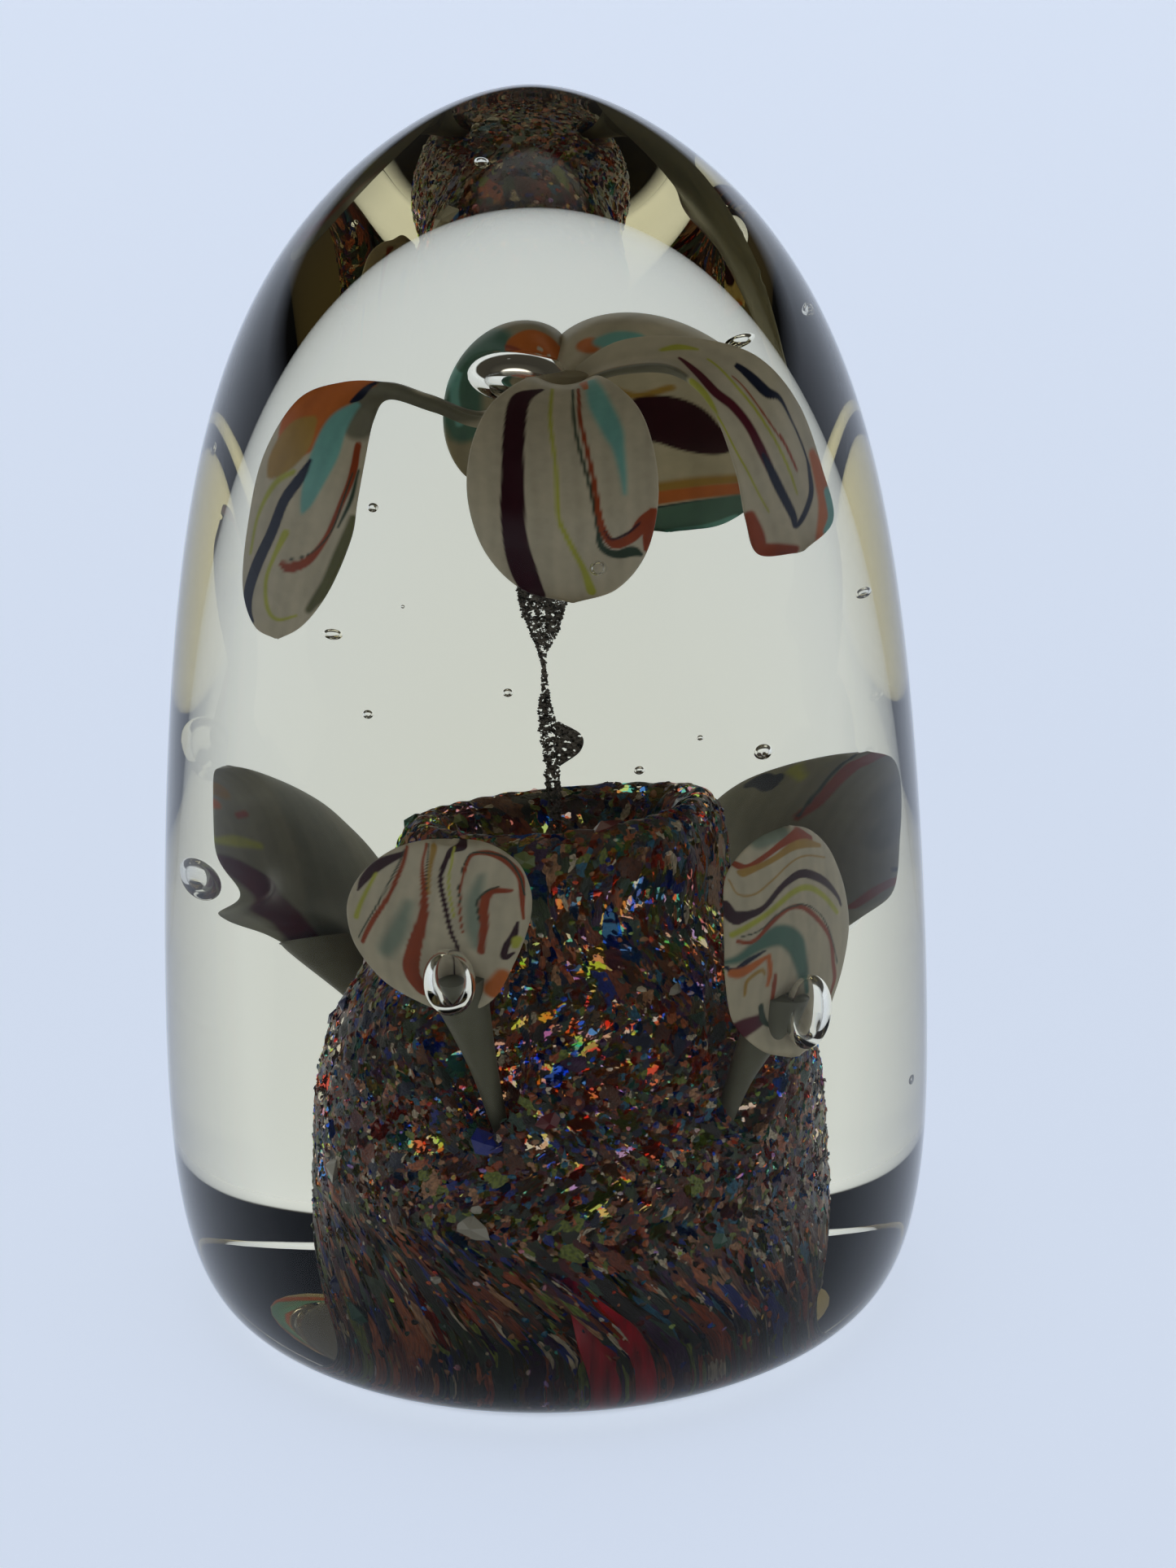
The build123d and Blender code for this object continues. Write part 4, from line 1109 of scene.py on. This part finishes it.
def tube(path, radii, columns, lumps, seed):
    """A closed tube along a path, with a lumpy surface."""
    rng = np.random.default_rng(seed)
    centre = spline(path, TUBE_ROWS)
    radius = spline([(r, 0) for r in radii], TUBE_ROWS)[:, 0]
    along = unit(np.gradient(centre, axis=0))
    side = unit(np.cross(along, (0.0, 1.0, 0.0)))
    other = np.cross(along, side)
    angle = np.arange(columns) * 2 * math.pi / columns
    rough = 1 + lumps * rng.normal(0, 1, (TUBE_ROWS, columns))
    rough = (rough + np.roll(rough, 1, 0) + np.roll(rough, 1, 1)) / 3
    ring = np.cos(angle)[None, :, None] * side[:, None] + np.sin(angle)[None, :, None] * other[:, None]
    points = centre[:, None] + ring * (radius[:, None] * rough)[..., None]
    flat = points.reshape(-1, 3)
    faces = grid_faces(TUBE_ROWS, columns)
    faces.append(list(range(columns))[::-1])
    faces.append([(TUBE_ROWS - 1) * columns + j for j in range(columns)])
    if signed_volume(flat - flat.mean(0), faces) < 0:
        faces = [f[::-1] for f in faces]
    return flat, faces


def crust_material(settings, name, gaps):
    """Trapped ash and fine bubbles: matt, mottled at a quarter of a millimetre, with gaps that show the glass."""
    material, tree, output = new_material(name)
    place = add_node(tree, "ShaderNodeTexCoord")
    speck = add_node(tree, "ShaderNodeTexNoise", {"Vector": place.outputs["Object"], "Scale": 3500.0, "Detail": 4.0})
    tone = add_node(tree, "ShaderNodeValToRGB", {"Fac": speck.outputs["Fac"]})
    set_ramp(tone, [(position, (*[brightness * c for c in settings.ash], 1.0))
                    for position, brightness in ((0.35, 0.3), (0.7, 4.0))])
    hole = add_node(tree, "ShaderNodeTexNoise", {"Vector": place.outputs["Object"], "Scale": 2200.0, "Detail": 2.0})
    open_share = add_node(tree, "ShaderNodeMath", {0: hole.outputs["Fac"], 1: gaps}, operation="LESS_THAN")
    solid = add_node(tree, "ShaderNodeBsdfPrincipled", {"Base Color": tone.outputs["Color"], "Roughness": 0.8,
                                                        "Specular IOR Level": 0.1})
    clear = add_node(tree, "ShaderNodeBsdfTransparent")
    mix = add_node(tree, "ShaderNodeMixShader", {"Fac": open_share.outputs["Value"], 1: solid.outputs["BSDF"],
                                                 2: clear.outputs["BSDF"]})
    tree.links.new(mix.outputs["Shader"], output.inputs["Surface"])
    return material


class PAPERWEIGHT_OT_stem(bpy.types.Operator):
    """Builds the flower's stem, the crusted thread under it and the flake that stands out from it"""

    bl_idname = "paperweight.stem"
    bl_label = "Stem and thread"

    def execute(self, context):
        sizes = context.scene.paperweight_sizes
        crust = crust_material(context.scene.paperweight_colours, "ash_crust", 0.42)
        points, faces = tube([(1.9, 0.2, 96.2), (1.7, 0.1, 94.0), (1.3, 0, 88.0), (0.8, 0, 82.0),
                              (0.4, 0, 77.5)],
                             [2.3, 3.0, 2.4, 1.9, 1.75], 64, 0.0, 3)
        stem = make_object("flower_stem_glass", points, faces, opal_material(context))
        x, y = points[:, 0], 96 - points[:, 2]
        # The stem's base is the opal darkened as painted shade.
        store_colours(stem, "Glaze", paint(x, y, "opal_painted_shade", [("olive", 0.8, [(1, 4, 0.8),
                                                                (0.6, 18, 0.8)])], 40))
        finish_piece(stem, "stem_glass", "flower_stem")
        funnel = tube([(0.4, 0, 78.0), (0.3, 0, 76.0), (0.3, 0, 73.4), (0.2, 0, 71.3), (0.2, 0, 70.3)],
                      [1.75, 1.55, 0.95, 0.3, 0.16], 40, 0.10, 4)
        thread = tube([(0.2, 0, 70.6), (0.3, 0, 68.4), (0.3, 0, 66.0), (0.5, 0.1, 63.6), (0.6, 0, 61.0),
                       (0.7, 0, 58.8),
                       (0.8, 0.1, 55.5), (0.9, 0, 48.9)],
                      [0.16, 0.2, 0.42, 0.55, 0.42, 0.46, 0.4, 0.34], 24, 0.22, 5)
        start = len(funnel[0])
        crusted = make_object("crusted_thread", np.vstack([funnel[0], thread[0]]),
                              funnel[1] + [[i + start for i in f] for f in thread[1]],
                              crust_material(context.scene.paperweight_colours, "ash_veil", 0.5))
        finish_piece(crusted, "crust", "centre_thread")
        grain = chip_shape("grain_shape", 0.9, 1.0, 0.42)
        grains = scatter("thread_grains", crusted, grain, crust, sizes.grain_count, 0.2, 31)
        finish_piece(grains, "crust")
        sheet, x, y = leaf([(0.8, -0.2, 64.4), (1.0, -0.2, 63.6), (0.8, -0.2, 62.2), (1.0, -0.2, 60.4)],
                           [(1.2, 0.0, 64.6), (2.7, 0.1, 63.2), (2.6, 0.1, 61.6),
                            (1.2, 0.0, 60.2)], 0.3, 0.25, 40, 30)
        flake = make_object("thread_flake_sheet", *sheet, crust)
        finish_piece(flake, "crust", "thread_flake")
        return {"FINISHED"}


# ---------------------------------------------------------------- stage


def floor_material(settings):
    """Smooth white acrylic sheet, softly lit from below, with a painted shadow: a dark patch where the base stands.
    """
    material, tree, output = new_material("white_acrylic_sheet")
    place = add_node(tree, "ShaderNodeTexCoord")
    reach = add_node(tree, "ShaderNodeVectorMath", {0: place.outputs["Object"]}, operation="LENGTH")
    # Painted shadow: inside the base's circle the floor is dark and gives no light. Outside it, the floor is pale
    # and glows.
    outside_painted_shadow = add_node(tree, "ShaderNodeMapRange", {"Value": reach.outputs["Value"], "From Min": 0.029,
                                                  "From Max": 0.033, "To Min": 0.0, "To Max": 1.0})
    tone = add_node(tree, "ShaderNodeMix", {"Factor": outside_painted_shadow.outputs["Result"], 6: rgba("#1c1a17"),
                                            7: (*settings.floor, 1.0)}, data_type="RGBA")
    glow = add_node(tree, "ShaderNodeMath", {0: outside_painted_shadow.outputs["Result"], 1: 0.68}, operation="MULTIPLY")
    solid = add_node(tree, "ShaderNodeBsdfPrincipled", {
        "Base Color": tone.outputs[2], "Roughness": 0.4, "Specular IOR Level": 0.1,
        "Emission Color": (*settings.floor, 1.0),
        "Emission Strength": glow.outputs["Value"],
    })
    tree.links.new(solid.outputs["BSDF"], output.inputs["Surface"])
    return material


class PAPERWEIGHT_OT_stage(bpy.types.Operator):
    """Builds the pale floor, the soft light and the camera"""

    bl_idname = "paperweight.stage"
    bl_label = "Stage"

    def execute(self, context):
        scene = context.scene
        reach = 6000.0
        colours = scene.paperweight_colours
        floor = make_object("floor", [(-reach, -reach, -0.05), (reach, -reach, -0.05), (reach, reach, -0.05),
                                      (-reach, reach, -0.05)], [[0, 1, 2, 3]], floor_material(colours))
        build_world(scene, colours)
        build_camera(scene)
        return {"FINISHED"}


def build_world(scene, colours):
    """A soft studio: pale round the horizon, dim above it, and one round light straight overhead."""
    world = bpy.data.worlds.new("soft_studio")
    world.use_nodes = True
    tree = world.node_tree
    tree.nodes.clear()
    output = add_node(tree, "ShaderNodeOutputWorld")
    place = add_node(tree, "ShaderNodeTexCoord")
    split = add_node(tree, "ShaderNodeSeparateXYZ", {"Vector": place.outputs["Generated"]})
    ramp = add_node(tree, "ShaderNodeValToRGB", {"Fac": split.outputs["Z"]})
    pale = (*colours.floor, 1.0)
    lamp = (1.6, 1.6, 1.65, 1.0)
    stops = [(0.0, pale), (0.2, pale), (0.3, rgba("#3a3936")), (0.8, rgba("#353432")), (0.95, rgba("#4a4946")),
             (0.97, lamp), (1.0, lamp)]
    set_ramp(ramp, stops)
    background = add_node(tree, "ShaderNodeBackground", {"Color": ramp.outputs["Color"], "Strength": 1.0})
    tree.links.new(background.outputs["Background"], output.inputs["Surface"])
    scene.world = world


def build_camera(scene):
    """The camera stands in front and above, and leans a little clockwise."""
    data = bpy.data.cameras.new("camera")
    data.sensor_fit = "VERTICAL"
    data.sensor_height = 24.0
    data.lens = 49.78
    data.clip_start = 0.01
    data.clip_end = 50.0
    camera = bpy.data.objects.new("camera", data)
    scene.collection.objects.link(camera)
    place = Vector((0.0, -0.320, 0.1639))
    pitch, yaw, roll = math.radians(18.72), math.radians(0.846), math.radians(0.905)
    look = Vector((math.sin(yaw) * math.cos(pitch), math.cos(yaw) * math.cos(pitch), -math.sin(pitch)))
    right = look.cross(Vector((0, 0, 1))).normalized()
    up = right.cross(look)
    leaning_up = up * math.cos(roll) + right * math.sin(roll)
    leaning_right = right * math.cos(roll) - up * math.sin(roll)
    turn = Matrix((leaning_right, leaning_up, -look)).transposed().to_4x4()
    camera.matrix_world = Matrix.Translation(place) @ turn
    scene.camera = camera
    scene.view_settings.view_transform = "Standard"
    scene.cycles.max_bounces = 32
    scene.cycles.transmission_bounces = 24
    scene.cycles.transparent_max_bounces = 48
    scene.cycles.sample_clamp_indirect = 6.0


# ---------------------------------------------------------------- add-on


OPERATORS = [
    PAPERWEIGHT_OT_stage,
    PAPERWEIGHT_OT_casing,
    PAPERWEIGHT_OT_pot,
    PAPERWEIGHT_OT_chips,
    PAPERWEIGHT_OT_smear,
    PAPERWEIGHT_OT_petals,
    PAPERWEIGHT_OT_lilies,
    PAPERWEIGHT_OT_stem,
]


class PAPERWEIGHT_PT_panel(bpy.types.Panel):
    """Lists the steps that build the paperweight"""

    bl_idname = "PAPERWEIGHT_PT_panel"
    bl_label = "Glass Flower Paperweight"
    bl_space_type = "VIEW_3D"
    bl_region_type = "UI"
    bl_category = "Paperweight"

    def draw(self, context):
        for settings in (context.scene.paperweight_sizes, context.scene.paperweight_colours):
            for name in settings.__annotations__:
                self.layout.prop(settings, name)
        for operator in OPERATORS:
            self.layout.operator(operator.bl_idname)


CLASSES = [PaperweightSizes, PaperweightColours, *OPERATORS, PAPERWEIGHT_PT_panel]


def register():
    for cls in CLASSES:
        bpy.utils.register_class(cls)
    bpy.types.Scene.paperweight_sizes = PointerProperty(type=PaperweightSizes)
    bpy.types.Scene.paperweight_colours = PointerProperty(type=PaperweightColours)


def unregister():
    del bpy.types.Scene.paperweight_colours
    del bpy.types.Scene.paperweight_sizes
    for cls in reversed(CLASSES):
        bpy.utils.unregister_class(cls)


def main():
    register()
    for operator in OPERATORS:
        group, name = operator.bl_idname.split(".")
        getattr(getattr(bpy.ops, group), name)()


if __name__ == "__main__":
    main()
